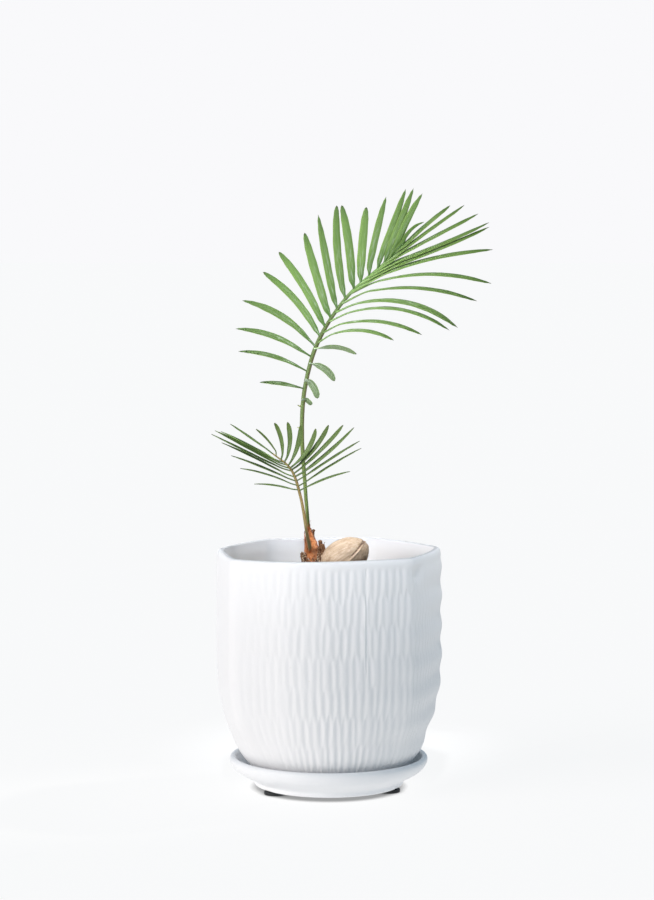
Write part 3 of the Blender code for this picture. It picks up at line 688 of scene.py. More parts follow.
# Scale leaves: (which way round the core, foot height, tip height, half width, how far the tip stands off)
SCALES = [(262, 156, 172.5, 3.0, 0.2), (322, 155, 170, 3.0, 0.15), (352, 157, 172.5, 2.6, 0.5),
          (205, 155, 170.5, 3.0, 0.5), (183, 161, 176.6, 1.5, 0.7), (292, 154.5, 167, 3.2, 0.25),
          (235, 153.5, 165.5, 3.0, 0.4), (20, 156, 172, 3.0, 0.8), (70, 155, 175, 3.0, 0.9),
          (120, 155, 172, 3.0, 0.9), (150, 156, 174, 2.6, 0.8), (318, 164, 181.6, 1.9, 0.0),
          (8, 165, 178.5, 1.4, 0.2)]
# Stubs: (points of the middle line, half width, half depth)
STUBS = [([(-7.6, 2.2, 156), (-6.6, 2.4, 161), (-6.4, 2.6, 166), (-6.9, 2.8, 170.4)], 1.45, 1.2),
         ([(-6.4, 2.6, 154), (-5.3, 2.6, 160), (-4.8, 2.4, 164), (-5.7, 2.2, 167.8)], 1.95, 1.3),
         ([(-8.4, 0.6, 157), (-7.8, 0.4, 161.5), (-7.6, 0.2, 165.6)], 0.9, 0.8),
         ([(-17.4, 1.0, 153), (-18.8, 0.8, 158), (-19.2, 0.6, 161.8)], 1.5, 1.3),
         ([(-16.6, 0.2, 153), (-17.0, 0.0, 157), (-17.2, 0.0, 160.4)], 0.9, 0.9),
         ([(-10.6, 6.5, 153), (-9.4, 8.4, 160), (-9.2, 9.4, 165)], 2.0, 1.4),
         ([(-15.4, 7.5, 153), (-16.8, 8.8, 157), (-17.4, 9.4, 160)], 1.8, 1.3)]
KNOB = [(-11.2, 3.6, 166), (-11.0, 3.4, 170), (-11.4, 3.2, 173.5), (-11.3, 3.0, 175.6), (-11.2, 2.8, 177.8)]
TWIG = [(-5.0, 2.0, 163), (-4.6, 1.8, 166.4), (-3.4, 1.6, 169.0)]
CRUMB_COUNT, CRUMB_RADIUS = 420, (0.2, 0.62)
SIDE_CRUMBS, SIDE_CRUMB_PLACES = 170, [(-6.9, 0.95), (-17.8, 1.1)]
HAIR_COUNT, HAIR_THICK, HAIR_LONG = 420, 0.045, (0.7, 2.0)
WOOL, WOOL_PALE, WOOL_DEEP, WOOL_TIP, WOOL_CREEP = "#C27440", "#DDA374", "#86431F", "#4E3020", "#AF5C30"
STUB_BROWN, STUB_PALE, STUB_DARK = "#7A5336", "#C3A27E", "#2C1C13"
SCRAP_PALE, SCRAP_TAN = "#EAD6BC", "#B28E68"


def in_pot(point):
    """A place measured in millimetres from the pot's axis at table height."""
    return POT_AXIS + Vector(point) * MM


def frames_along(line, facing=(0, -1, 0)):
    """For each point of a line: the point, the way to its right and the way it faces."""
    frames = []
    for index, point in enumerate(line):
        along = (line[min(index + 1, len(line) - 1)] - line[max(index - 1, 0)]).normalized()
        right = along.cross(Vector(facing)).normalized()
        frames.append((point, right, right.cross(along)))
    return frames


def add_limb(bm, frames, sides, section, material_index=0):
    """Add a closed limb along a line of frames, with its ends drawn to a point. section(share, turn) says how
    far a point stands to the right and to the front, in millimetres. Returns (vertex, share, turn)."""
    limb = bmesh.ops.create_uvsphere(bm, u_segments=sides, v_segments=len(frames) - 1, radius=1)["verts"]
    laid, faces = [], set()
    for vert in limb:
        index = round(math.acos(min(max(vert.co.z, -1), 1)) / math.pi * (len(frames) - 1))
        point, right, front = frames[index]
        share, turn = index / (len(frames) - 1), math.atan2(vert.co.y, vert.co.x)
        vert.co = point
        if 0 < index < len(frames) - 1:
            beside, before = section(share, turn)
            vert.co += (right * beside + front * before) * MM
        laid.append((vert, share, turn))
        faces.update(vert.link_faces)
    bmesh.ops.recalc_face_normals(bm, faces=list(faces))
    for face in faces:
        face.material_index = material_index
    return laid


def between(points, share):
    """A value read smoothly from a list of (share, value)."""
    for (start, low_value), (end, high_value) in zip(points, points[1:]):
        if share <= end:
            return low_value + (high_value - low_value) * smooth_step((share - start) / (end - start))
    return points[-1][1]


# Wool: matted hair, quite dull, pale where it is loose and dark at the tips of the scales
wool, tree, shader, place = start_material("orange_brown_cycad_wool")
strands = add_node(tree, "ShaderNodeMapping", {"Vector": place, "Scale": (1, 1, 0.16)})
hairy = add_node(tree, "ShaderNodeTexNoise",
                 {"Vector": strands.outputs[0], "Scale": 1 / (0.42 * MM), "Detail": 5, "Roughness": 0.6})
clumps = add_node(tree, "ShaderNodeTexNoise", {"Vector": place, "Scale": 1 / (2.6 * MM), "Detail": 3})
pale = add_node(tree, "ShaderNodeMapRange", {"Value": hairy.outputs[0], "From Min": 0.42, "From Max": 0.7})
deep = add_node(tree, "ShaderNodeMapRange",
                {"Value": clumps.outputs[0], "From Min": 0.47, "From Max": 0.66, "To Max": 0.9})
first = add_node(tree, "ShaderNodeMix",
                 {0: pale.outputs[0], 6: linear(WOOL), 7: linear(WOOL_PALE)}, data_type="RGBA")
second = add_node(tree, "ShaderNodeMix",
                  {0: deep.outputs[0], 6: first.outputs[2], 7: linear(WOOL_DEEP)}, data_type="RGBA")
darkening = add_node(tree, "ShaderNodeAttribute", attribute_name="darkening")
third = add_node(tree, "ShaderNodeMix",
                 {0: darkening.outputs["Fac"], 6: second.outputs[2], 7: linear(WOOL_TIP)}, data_type="RGBA")
relief = add_node(tree, "ShaderNodeBump", {"Height": hairy.outputs[0], "Strength": 0.8, "Distance": 0.25 * MM})
tree.links.new(third.outputs[2], shader.inputs["Base Color"])
tree.links.new(relief.outputs[0], shader.inputs["Normal"])
shader.inputs["Roughness"].default_value = 0.88
shader.inputs["Specular IOR Level"].default_value = 0.2
shader.inputs["Sheen Weight"].default_value = 0.25

# Old leaf bases: dry, splitting fibre, dark with paler torn edges
old_base, tree, shader, place = start_material("dry_old_leaf_base")
strands = add_node(tree, "ShaderNodeMapping", {"Vector": place, "Scale": (1, 1, 0.25)})
fibres = add_node(tree, "ShaderNodeTexNoise",
                  {"Vector": strands.outputs[0], "Scale": 1 / (0.5 * MM), "Detail": 6, "Roughness": 0.65})
dark = add_node(tree, "ShaderNodeMapRange", {"Value": fibres.outputs[0], "From Min": 0.36, "From Max": 0.52})
torn = add_node(tree, "ShaderNodeMapRange", {"Value": fibres.outputs[0], "From Min": 0.56, "From Max": 0.7})
first = add_node(tree, "ShaderNodeMix",
                 {0: dark.outputs[0], 6: linear(STUB_DARK), 7: linear(STUB_BROWN)}, data_type="RGBA")
second = add_node(tree, "ShaderNodeMix",
                  {0: torn.outputs[0], 6: first.outputs[2], 7: linear(STUB_PALE)}, data_type="RGBA")
relief = add_node(tree, "ShaderNodeBump", {"Height": fibres.outputs[0], "Strength": 0.9, "Distance": 0.4 * MM})
tree.links.new(second.outputs[2], shader.inputs["Base Color"])
tree.links.new(relief.outputs[0], shader.inputs["Normal"])
shader.inputs["Roughness"].default_value = 0.9

# Scraps of pale dry fibre, torn from the old leaf bases
scraps, tree, shader, place = start_material("pale_dry_leaf_fibre")
weave = add_node(tree, "ShaderNodeTexNoise", {"Vector": place, "Scale": 1 / (0.7 * MM), "Detail": 4})
tone = add_node(tree, "ShaderNodeMix",
                {0: weave.outputs[0], 6: linear(SCRAP_PALE), 7: linear(SCRAP_TAN)}, data_type="RGBA")
tree.links.new(tone.outputs[2], shader.inputs["Base Color"])
shader.inputs["Roughness"].default_value = 0.9

bm = bmesh.new()
darkening_layer = bm.verts.layers.float.new("darkening")
core_line = smooth_line([in_pot(station[:3]) for station in CORE], CORE_PIECES)
core_widths = [(station[2], station[3]) for station in CORE]


def core_reach(height):
    """The woolly core's half width at a height in millimetres."""
    return between(core_widths, height)


def core_middle(height):
    """The middle of the woolly core at a height in millimetres, from the pot's axis."""
    return Vector((between([(station[2], station[0]) for station in CORE], height),
                   between([(station[2], station[1]) for station in CORE], height), height))


def core_section(share, turn):
    """The core: round, with soft upright folds."""
    height = (core_line[round(share * CORE_PIECES)].z) / MM
    reach = core_reach(height) * (1 + 0.03 * math.sin(turn * 3 + share * 4))
    reach -= FLUTE_DEPTH * (0.5 + 0.5 * math.cos(FLUTE_COUNT * turn + 2 * math.sin(share * 7)))
    return reach * math.cos(turn), reach * math.sin(turn)


add_limb(bm, frames_along(core_line), CORE_SIDES, core_section)
for way, foot, tip, half_width, stand_off in SCALES:
    line = []
    for step in range(19):
        share = step / 18
        height = foot + (tip - foot) * share
        off = core_reach(min(height, 180)) + 0.25 + stand_off * share ** 2
        around = math.radians(way)
        line.append(in_pot(core_middle(height) + Vector((math.cos(around), math.sin(around), 0)) * off))
    away = (math.cos(math.radians(way)), math.sin(math.radians(way)), 0)

    def scale_section(share, turn):
        """A scale leaf: broad at the foot, pointed, and wrapped round the core."""
        beside = math.cos(turn) * half_width * (1 - share ** 1.6) ** 0.8
        wrap = beside * beside / (2 * core_reach(foot + (tip - foot) * share) + 1)
        return beside, math.sin(turn) * (0.55 - 0.33 * share) - wrap

    for vert, share, turn in add_limb(bm, frames_along(line, away), 16, scale_section):
        vert[darkening_layer] = 0.75 * smooth_step((share - 0.86) / 0.14) + 0.12 * share
# noise_vector takes its offsets from this seed, and from the clock without it
noise.seed_set(WOOL_SEED)
for vert in bm.verts:
    vert.co += 0.5 * FLUFF * MM * noise.noise_vector(vert.co / (0.9 * MM))
    vert.co += 0.4 * FLUFF * MM * noise.noise_vector(vert.co / (2.3 * MM))

# Round the place where the young stalk breaks out, the wool is darker brown in a patch
dark_patch = in_pot((-10.9, -1.6, 163))
for vert in bm.verts:
    vert[darkening_layer] = max(vert[darkening_layer], 0.75 * bell((vert.co - dark_patch).length / MM, 2.1))

stub_random = random.Random(23)
for points, half_width, half_depth in STUBS + [(KNOB, 0.72, 0.6), (TWIG, 0.16, 0.16)]:
    line = smooth_line([in_pot(point) for point in points], 20)
    ragged = [stub_random.uniform(0.82, 1.12) for side in range(12)]

    def stub_section(share, turn):
        """An old leaf base: blocky and split, and torn off nearly square."""
        rough = ragged[round(turn / math.pi * 6) % 12]
        bulge = 1.5 if half_width < 1 and share > 0.86 else 1.0
        body = (1 - max(0, (share - 0.93) / 0.07) ** 4) ** 0.5 * (0.9 + 0.1 * share) * bulge
        return (half_width * body * rough * math.cos(turn), half_depth * body * rough * math.sin(turn))

    for vert, share, turn in add_limb(bm, frames_along(line), 12, stub_section, material_index=1):
        vert.co += half_width * 0.14 * MM * noise.noise_vector(vert.co / (0.9 * MM))

# Crumbs of bark and perlite lodged round the foot
for number in range(CRUMB_COUNT):
    around, reach = stub_random.uniform(0, 2 * math.pi), stub_random.uniform(4.4, 7.4)
    height = 149 + 10.5 * smooth_step((9.4 - reach) / 5.0) * stub_random.random() ** 0.6
    spot = in_pot((-12.4 + reach * math.cos(around), 3 + reach * 0.9 * math.sin(around), height))
    spin = Matrix.Rotation(stub_random.uniform(0, 6.3), 4, Vector((stub_random.random(), 0.5, 0.3)).normalized())
    flat = Matrix.Diagonal((1, stub_random.uniform(0.5, 0.9), stub_random.uniform(0.35, 0.8), 1))
    size = stub_random.uniform(*CRUMB_RADIUS) * MM
    crumb = bmesh.ops.create_icosphere(bm, subdivisions=1, radius=size, matrix=Matrix.Translation(spot) @ spin @ flat)
    index = stub_random.choice((1, 1, 2, 3, 4))
    for face in {face for vert in crumb["verts"] for face in vert.link_faces}:
        face.material_index = index

# More of them are caught in front of the stubs, on either side of the stem
for number in range(SIDE_CRUMBS):
    middle_x, spread_x = SIDE_CRUMB_PLACES[number % 2]
    spot = in_pot((stub_random.gauss(middle_x, spread_x), stub_random.uniform(-2.2, 0.2),
                   154.5 + 8.0 * stub_random.random() ** 1.1))
    flat = Matrix.Diagonal((1, stub_random.uniform(0.5, 0.9), stub_random.uniform(0.5, 0.9), 1))
    size = stub_random.uniform(*CRUMB_RADIUS) * MM
    crumb = bmesh.ops.create_icosphere(bm, subdivisions=1, radius=size, matrix=Matrix.Translation(spot) @ flat)
    index = stub_random.choice((1, 2, 4, 4))
    for face in {face for vert in crumb["verts"] for face in vert.link_faces}:
        face.material_index = index

# Loose hairs of the wool stand out all over
for number in range(HAIR_COUNT):
    height = stub_random.uniform(154, 183.5)
    around = stub_random.uniform(0, 2 * math.pi)
    out = Vector((math.cos(around), math.sin(around), 0))
    root = core_middle(min(height, 180)) + out * core_reach(min(height, 180)) * 0.98
    root.z = height
    heading = (out + Vector((0, 0, stub_random.uniform(0.3, 2.4)))
               + 0.6 * Vector([stub_random.uniform(-1, 1) for axis in range(3)])).normalized()
    length = stub_random.uniform(*HAIR_LONG)
    turned = heading.to_track_quat("Z", "Y").to_matrix().to_4x4()
    place_at = Matrix.Translation(in_pot(root + heading * length / 2)) @ turned
    bmesh.ops.create_cone(bm, cap_ends=True, segments=3, radius1=HAIR_THICK * MM, radius2=0.3 * HAIR_THICK * MM,
                          depth=length * MM, matrix=place_at)
finish_piece("woolly_stem", bm, [wool, old_base, bark, perlite, scraps], ["caudex"], 75)


# ---------------------------------------------------------------- Rachises
# The stalk of each frond, grown in one with the leaflet that ends it. It is green and smooth,
# with a few hooked thorns lower down. The small frond's stalk is still tan.
LIMB_MERGE = 0.002 * MM


def cad_rings(node, is_foot):
    """The rings of points that a CAD limb was lofted through, from its foot to its tip."""
    bm = bmesh.new()
    bm.from_mesh(frame["nodes"][node].data)
    bmesh.ops.remove_doubles(bm, verts=bm.verts[:], dist=LIMB_MERGE)
    foot = min(bm.verts, key=is_foot)
    rings, seen = [[foot]], {foot}
    while rings[-1]:
        ring = []
        for vert in rings[-1]:
            for edge in vert.link_edges:
                other = edge.other_vert(vert)
                if other not in seen:
                    seen.add(other)
                    ring.append(other)
        rings.append(ring)
    places = [[vert.co.copy() for vert in ring] for ring in rings[:-1]]
    bm.free()
    return places


def middle(points):
    """The mean of some points."""
    return sum(points, Vector()) / len(points)


def blade_frames(rings, pieces, underside_front):
    """Frames along a leaflet, read from its CAD rings: the middle line, the way across the blade, and the
    way its upper face looks."""
    line = smooth_line([middle(ring) for ring in rings], pieces)
    acrosses, faces_up = [], []
    for ring in rings[1:-1]:
        ends = max(((a, b) for a in ring for b in ring), key=lambda pair: (pair[0] - pair[1]).length)
        across = (ends[1] - ends[0]).normalized()
        if acrosses and across.dot(acrosses[-1]) < 0:
            across.negate()
        acrosses.append(across)
    frames = []
    for index, point in enumerate(line):
        spot = min(max(index / pieces * (len(rings) - 1) - 1, 0), len(acrosses) - 1)
        low_ring = min(int(spot), len(acrosses) - 2)
        across = acrosses[low_ring].lerp(acrosses[low_ring + 1], spot - low_ring)
        along = (line[min(index + 1, pieces)] - line[max(index - 1, 0)]).normalized()
        across = (across - along * across.dot(along)).normalized()
        frames.append((point, across, along.cross(across)))
    looks = sum((up for point, across, up in frames), Vector())
    if (looks.y if underside_front else -looks.y) + 0.3 * looks.z < 0:
        frames = [(point, across, -up) for point, across, up in frames]
    return frames


def trimmed(frames, turn, stretch, lean):
    """A leaflet's frames, turned about its foot in the frond's plane (anticlockwise) and made longer by the
    stretch in millimetres at its tip. With a lean, its upper face looks so far forwards from straight up."""
    root = frames[0][0]
    swing = Matrix.Rotation(-math.radians(turn), 3, "Y")
    longer = 1 + stretch * MM / (frames[-1][0] - root).length
    changed = []
    for point, across, up in frames:
        if lean is not None:
            along = across.cross(up)
            wanted = Vector((0, -math.sin(math.radians(lean)), math.cos(math.radians(lean))))
            up = (wanted - along * wanted.dot(along)).normalized()
            across = up.cross(along)
        changed.append((root + swing @ (point - root) * longer, swing @ across, swing @ up))
    return changed


# What each row is like: how wide its blades are along their length, and how their colour changes
# Widths are (share of the length, share of the full width)
STRAP = [(0, 0.30), (0.025, 0.34), (0.12, 0.78), (0.3, 1.0), (0.62, 1.0), (0.82, 0.86), (0.93, 0.62),
         (0.975, 0.38), (1, 0.0)]
POINTED = [(0, 0.30), (0.025, 0.34), (0.12, 0.76), (0.3, 1.0), (0.6, 0.98), (0.8, 0.78), (0.93, 0.42), (1, 0.0)]
TAPER = [(0, 0.24), (0.04, 0.28), (0.25, 0.72), (0.5, 1.0), (0.7, 0.92), (0.86, 0.62), (0.95, 0.32), (1, 0.0)]
FAN_FOOT = [(0, 0.1), (0.06, 0.4), (0.14, 0.78), (0.24, 0.95), (0.35, 1.0), (0.74, 1.0), (0.87, 0.86), (0.95, 0.54), (1, 0.0)]
LANCE = [(0, 0.30), (0.14, 0.30), (0.3, 0.56), (0.5, 0.85), (0.74, 1.0), (0.87, 0.86), (0.95, 0.54), (1, 0.0)]
BROAD_FOOT = [(0, 0.42), (0.1, 0.62), (0.2, 0.84), (0.35, 1.0), (0.74, 1.0), (0.87, 0.86), (0.95, 0.54), (1, 0.0)]
SPOON = [(0, 0.26), (0.08, 0.24), (0.34, 0.86), (0.58, 1.0), (0.80, 0.94), (0.92, 0.68), (0.975, 0.38), (1, 0.0)]
BUD = [(0, 0.34), (0.05, 0.60), (0.2, 0.92), (0.5, 1.0), (0.82, 0.92), (0.94, 0.62), (1, 0.0)]
PADDLE = [(0, 0.34), (0.08, 0.38), (0.4, 0.80), (0.66, 1.0), (0.84, 0.93), (0.93, 0.68), (0.98, 0.36), (1, 0.0)]
NEEDLE = [(0, 0.34), (0.1, 0.42), (0.35, 0.85), (0.6, 0.9), (0.85, 0.62), (0.96, 0.3), (1, 0.0)]
BLADE_SIDES, BLADE_PIECES, END_CROWDING = 20, 34, 0.7


def blade_share(share):
    """Crowd a blade's rings towards its base and its tip, where its outline bends most."""
    return share - END_CROWDING * math.sin(2 * math.pi * share) / (2 * math.pi)


def add_blade(bm, layers, frames, widths, half_width, seed, foot_thick=0.42, shade=1.0):
    """Add a leaflet: a flat limb with rolled-down margins, a groove over the midrib and a rib under it."""
    grain_layer, share_layer, tint_and_painted_light_layer = layers
    pieces = len(frames) - 1
    crowded = []
    for index in range(BLADE_PIECES + 1):
        spot = blade_share(index / BLADE_PIECES) * pieces
        low_frame = min(int(spot), pieces - 1)
        part = spot - low_frame
        first, second = frames[low_frame], frames[low_frame + 1]
        crowded.append(tuple(a.lerp(b, part) for a, b in zip(first, second)))
    length = sum((b[0] - a[0]).length for a, b in zip(frames, frames[1:])) / MM
    blade_random = random.Random(seed)
    twist = blade_random.uniform(-0.12, 0.12)
    wave = blade_random.uniform(0, 20)

    def blade_section(share, turn):
        """Across and up from the blade's middle line."""
        real = blade_share(share)
        wide = between(widths, real) * half_width * (1 + 0.05 * noise.noise(Vector((real * length / 7, wave, 1))))
        side = math.copysign(abs(math.cos(turn)) ** 1.5, math.cos(turn))
        open_blade = smooth_step((wide - 0.6) / 1.0)
        thick = 0.42 - 0.14 * open_blade
        thick *= 1 - 0.45 * smooth_step((real - 0.7) / 0.3)
        thick = foot_thick + (thick - foot_thick) * smooth_step(real / 0.24)
        up = math.sin(turn) * thick - 0.15 * wide * side * side * open_blade
        if math.sin(turn) > 0:
            up -= 0.13 * bell(side, 0.16) * open_blade
        else:
            up -= 0.22 * bell(side, 0.2) * open_blade
        up += 0.16 * open_blade * noise.noise(Vector((real * length / 9, side * 1.2, wave)))
        lean = twist * (real - 0.4)
        return side * wide - up * lean, up + side * wide * lean

    laid = add_limb(bm, crowded, BLADE_SIDES, blade_section)
    # each leaflet's brightness is partly its own tone and partly painted light and shade, set against how the light
    # falls on it
    tint_and_painted_light = shade * blade_random.uniform(0.93, 1.07)
    for vert, share, turn in laid:
        real = blade_share(share)
        side = math.copysign(abs(math.cos(turn)) ** 1.5, math.cos(turn)) if 0 < share < 1 else 0
        vert[grain_layer] = Vector((real * length, side * between(widths, real) * half_width, seed * 7.3))
        vert[share_layer] = Vector((real, side, 0))
        vert[tint_and_painted_light_layer] = tint_and_painted_light
    under = {vert for vert, share, turn in laid if math.sin(turn) < 0.01 or share in (0, 1)}
    for face in {face for vert in under for face in vert.link_faces}:
        if all(vert in under for vert in face.verts):
            face.material_index = 1
    return laid


def leaf_material(name, base, body, tip, vein, margin, is_upper, painted_sheen_share):
    """The skin of a leaflet. It reads where it is along and across the blade from the mesh."""
    skin, tree, shader, place = start_material(name)
    spot = add_node(tree, "ShaderNodeAttribute", attribute_name="blade_share")
    parts = add_node(tree, "ShaderNodeSeparateXYZ", {"Vector": spot.outputs["Vector"]})
    grain = add_node(tree, "ShaderNodeAttribute", attribute_name="grain")
    # parallel veins about 0.35 mm apart run the length of the blade
    drawn = add_node(tree, "ShaderNodeMapping", {"Vector": grain.outputs["Vector"], "Scale": (1 / 14, 1 / 0.35, 1)})
    veins = add_node(tree, "ShaderNodeTexNoise", {"Vector": drawn.outputs[0], "Scale": 1, "Detail": 4})
    blotch = add_node(tree, "ShaderNodeTexNoise", {"Vector": place, "Scale": 1 / (7 * MM), "Detail": 4})
    short = add_node(tree, "ShaderNodeMapping", {"Vector": grain.outputs["Vector"], "Scale": (1 / 7, 1 / 0.7, 1)})
    streak = add_node(tree, "ShaderNodeTexNoise", {"Vector": short.outputs[0], "Scale": 1, "Detail": 3})
    ramp = add_node(tree, "ShaderNodeValToRGB", {"Fac": parts.outputs[0]})
    stops = ramp.color_ramp.elements
    stops[0].position, stops[0].color = 0.0, linear(base)
    stops[1].position, stops[1].color = 1.0, linear(tip)
    for position in (0.3, 0.8):
        stops.new(position).color = linear(body)
    vein_share = add_node(tree, "ShaderNodeMapRange",
                          {"Value": veins.outputs[0], "From Min": 0.4, "From Max": 0.75, "To Max": 0.55})
    first = add_node(tree, "ShaderNodeMix",
                     {0: vein_share.outputs[0], 6: ramp.outputs[0], 7: linear(vein)}, data_type="RGBA")
    # the blade's brightness: random blotches times the per-leaflet value, which is partly painted light and shade
    tint_and_painted_light = add_node(tree, "ShaderNodeAttribute", attribute_name="tint_and_painted_light")
    shade = add_node(tree, "ShaderNodeMath", {0: blotch.outputs[0], 1: 0.28, 2: 0.86}, operation="MULTIPLY_ADD")
    value = add_node(tree, "ShaderNodeMath", {0: shade.outputs[0], 1: tint_and_painted_light.outputs["Fac"]}, operation="MULTIPLY")
    second = add_node(tree, "ShaderNodeHueSaturation", {"Color": first.outputs[2], "Value": value.outputs[0]})
    # pale streaks down the middle of the lower half are a painted waxy sheen, a painted highlight, and the very tip is
    # dry and brown
    painted_sheen_place = add_node(tree, "ShaderNodeMapRange",
                           {"Value": parts.outputs[0], "From Min": 0.82, "From Max": 0.4, "To Max": painted_sheen_share})
    from_middle = add_node(tree, "ShaderNodeMath", {0: parts.outputs[1]}, operation="ABSOLUTE")
    painted_sheen_middle = add_node(tree, "ShaderNodeMapRange",
                            {"Value": from_middle.outputs[0], "From Min": 0.75, "From Max": 0.2,
                             "To Max": painted_sheen_place.outputs[0]})
    painted_sheen = add_node(tree, "ShaderNodeMapRange",
                     {"Value": streak.outputs[0], "From Min": 0.46, "From Max": 0.68,
                      "To Max": painted_sheen_middle.outputs[0]})
    third = add_node(tree, "ShaderNodeMix",
                     {0: painted_sheen.outputs[0], 6: second.outputs[0], 7: linear("#C2D6B6")}, data_type="RGBA")
    # a thin yellower line along the rolled margin is a painted highlight
    rolled = add_node(tree, "ShaderNodeMapRange",
                      {"Value": from_middle.outputs[0], "From Min": 0.84, "From Max": 0.95, "To Max": 0.5})
    highlighted_margin = add_node(tree, "ShaderNodeMix",
                     {0: rolled.outputs[0], 6: third.outputs[2], 7: linear(margin)}, data_type="RGBA")
    dry = add_node(tree, "ShaderNodeMapRange", {"Value": parts.outputs[0], "From Min": 0.965, "From Max": 1.0})
    fourth = add_node(tree, "ShaderNodeMix",
                      {0: dry.outputs[0], 6: highlighted_margin.outputs[2], 7: linear("#4C4A2B")}, data_type="RGBA")
    relief = add_node(tree, "ShaderNodeBump",
                      {"Height": veins.outputs[0], "Strength": 0.35, "Distance": (0.08 if is_upper else 0.14) * MM})
    tree.links.new(fourth.outputs[2], shader.inputs["Base Color"])
    tree.links.new(relief.outputs[0], shader.inputs["Normal"])
    shader.inputs["Roughness"].default_value = 0.5 if is_upper else 0.62
    shader.inputs["IOR"].default_value = 1.45
    shader.inputs["Specular IOR Level"].default_value = 0.3
    return skin


# Living leaf: a waxy upper cuticle with parallel veins, and a paler, duller underside
tall_left_upper = leaf_material("waxy_leaf_cuticle_broad", "#4B7537", "#84AB5B", "#6D9051", "#9ABC71",
                                "#A3BC66", True, 0.75)
tall_right_upper = leaf_material("waxy_leaf_cuticle_narrow", "#86AD64", "#74984C", "#3F6115", "#92B06B",
                                 "#8FAA52", True, 0.6)
small_upper = leaf_material("young_leaf_cuticle", "#4B6333", "#5D753D", "#4E6628", "#748754",
                            "#6F8745", True, 0.2)
tall_under = leaf_material("pale_leaf_underside", "#AAB8A3", "#748B63", "#667D53", "#889B78",
                           "#A2B77C", False, 0.5)
small_under = leaf_material("young_leaf_underside", "#627458", "#647A58", "#627358", "#77886D",
                            "#86A06A", False, 0.2)


def stalk_material(name, low_lit_left, low_shaded_right, high_lit_left, high_shaded_right, end, creep_from):
    """The skin of a stalk: lighter on its left and darker and browner on its right, partly its own colour and partly
    painted light and shade, with fine dark flecks drawn out along it.
    """
    skin, tree, shader, place = start_material(name)
    spot = add_node(tree, "ShaderNodeAttribute", attribute_name="blade_share")
    parts = add_node(tree, "ShaderNodeSeparateXYZ", {"Vector": spot.outputs["Vector"]})
    drawn = add_node(tree, "ShaderNodeMapping", {"Vector": place, "Scale": (1, 1, 0.2)})
    fleck = add_node(tree, "ShaderNodeTexNoise", {"Vector": drawn.outputs[0], "Scale": 1 / (0.6 * MM), "Detail": 4})
    # painted light and shade: the left side, towards the light, is lighter and the right side darker; the browner tone
    # on the right is the stalk's own
    side = add_node(tree, "ShaderNodeMapRange", {"Value": parts.outputs[1], "From Min": 0.05, "From Max": 0.8})
    rise = add_node(tree, "ShaderNodeMapRange", {"Value": parts.outputs[0], "From Min": 0.1, "From Max": 0.4})
    low_tone = add_node(tree, "ShaderNodeMix",
                        {0: side.outputs[0], 6: linear(low_lit_left), 7: linear(low_shaded_right)}, data_type="RGBA")
    high_tone = add_node(tree, "ShaderNodeMix",
                         {0: side.outputs[0], 6: linear(high_lit_left), 7: linear(high_shaded_right)}, data_type="RGBA")
    tone = add_node(tree, "ShaderNodeMix",
                    {0: rise.outputs[0], 6: low_tone.outputs[2], 7: high_tone.outputs[2]}, data_type="RGBA")
    near_end = add_node(tree, "ShaderNodeMapRange", {"Value": parts.outputs[0], "From Min": 0.66, "From Max": 0.82})
    whole = add_node(tree, "ShaderNodeMix",
                     {0: near_end.outputs[0], 6: tone.outputs[2], 7: linear(end)}, data_type="RGBA")
    dark = add_node(tree, "ShaderNodeMapRange",
                    {"Value": fleck.outputs[0], "From Min": 0.56, "From Max": 0.74, "To Max": 0.55})
    flecked = add_node(tree, "ShaderNodeMix",
                       {0: dark.outputs[0], 6: whole.outputs[2], 7: linear("#4A4327")}, data_type="RGBA")
    # the wool of the stem creeps a little way up the foot
    creep = add_node(tree, "ShaderNodeMapRange",
                     {"Value": parts.outputs[0], "From Min": creep_from, "From Max": 0.4 * creep_from, "To Max": 0.55})
    reach = add_node(tree, "ShaderNodeMath", {0: fleck.outputs[0], 1: creep.outputs[0]}, operation="ADD")
    woolly = add_node(tree, "ShaderNodeMapRange", {"Value": reach.outputs[0], "From Min": 0.66, "From Max": 0.86})
    creeping = add_node(tree, "ShaderNodeMix",
                        {0: woolly.outputs[0], 6: flecked.outputs[2], 7: linear(WOOL_CREEP)}, data_type="RGBA")
    swollen = add_node(tree, "ShaderNodeAttribute", attribute_name="tint_and_painted_light")
    knuckle = add_node(tree, "ShaderNodeMix",
                       {0: swollen.outputs["Fac"], 6: creeping.outputs[2], 7: linear("#B3AC78")}, data_type="RGBA")
    relief = add_node(tree, "ShaderNodeBump", {"Height": fleck.outputs[0], "Strength": 0.4, "Distance": 0.1 * MM})
    tree.links.new(knuckle.outputs[2], shader.inputs["Base Color"])
    tree.links.new(relief.outputs[0], shader.inputs["Normal"])
    shader.inputs["Roughness"].default_value = 0.5
    return skin


STALKS = {
    "tall_frond": {"skin": stalk_material("green_frond_stalk", "#718640", "#4A6428", "#61773F", "#655A33", "#7FA35E", 0.04),
                   "underside": tall_under, "upper": tall_right_upper, "terminal": FAN_FOOT, "terminal_foot": 0.95, "half_width": 2.6,
                   "foot": [], "pieces": 150, "terminal_start": 7, "terminal_trim": (-1.9, -3.6, None),
                   "thick": [(0, 1.15), (0.1, 1.25), (0.35, 1.5), (0.55, 1.5), (0.8, 1.15), (1, 0.75)]},
    "small_frond": {"skin": stalk_material("tan_frond_stalk", "#7E7E5E", "#735E38", "#A2915E", "#99703A", "#A99762", 0.13),
                    "underside": small_under, "upper": small_upper, "terminal": NEEDLE, "terminal_foot": 0.42, "half_width": 1.85,
                    "foot": [(-13.4, 2.0, 157.5), (-13.5, 0.2, 160.5), (-13.7, -1.5, 163.5), (-14.1, -4.0, 168), (-15.2, -7.2, 173.2)],
                    "thick": [(0, 0.9), (0.06, 1.35), (0.15, 1.3), (0.3, 1.05), (0.6, 1.0), (1, 0.5)],
                    "pieces": 110, "terminal_start": 2, "terminal_trim": (0, 0, 24)}}
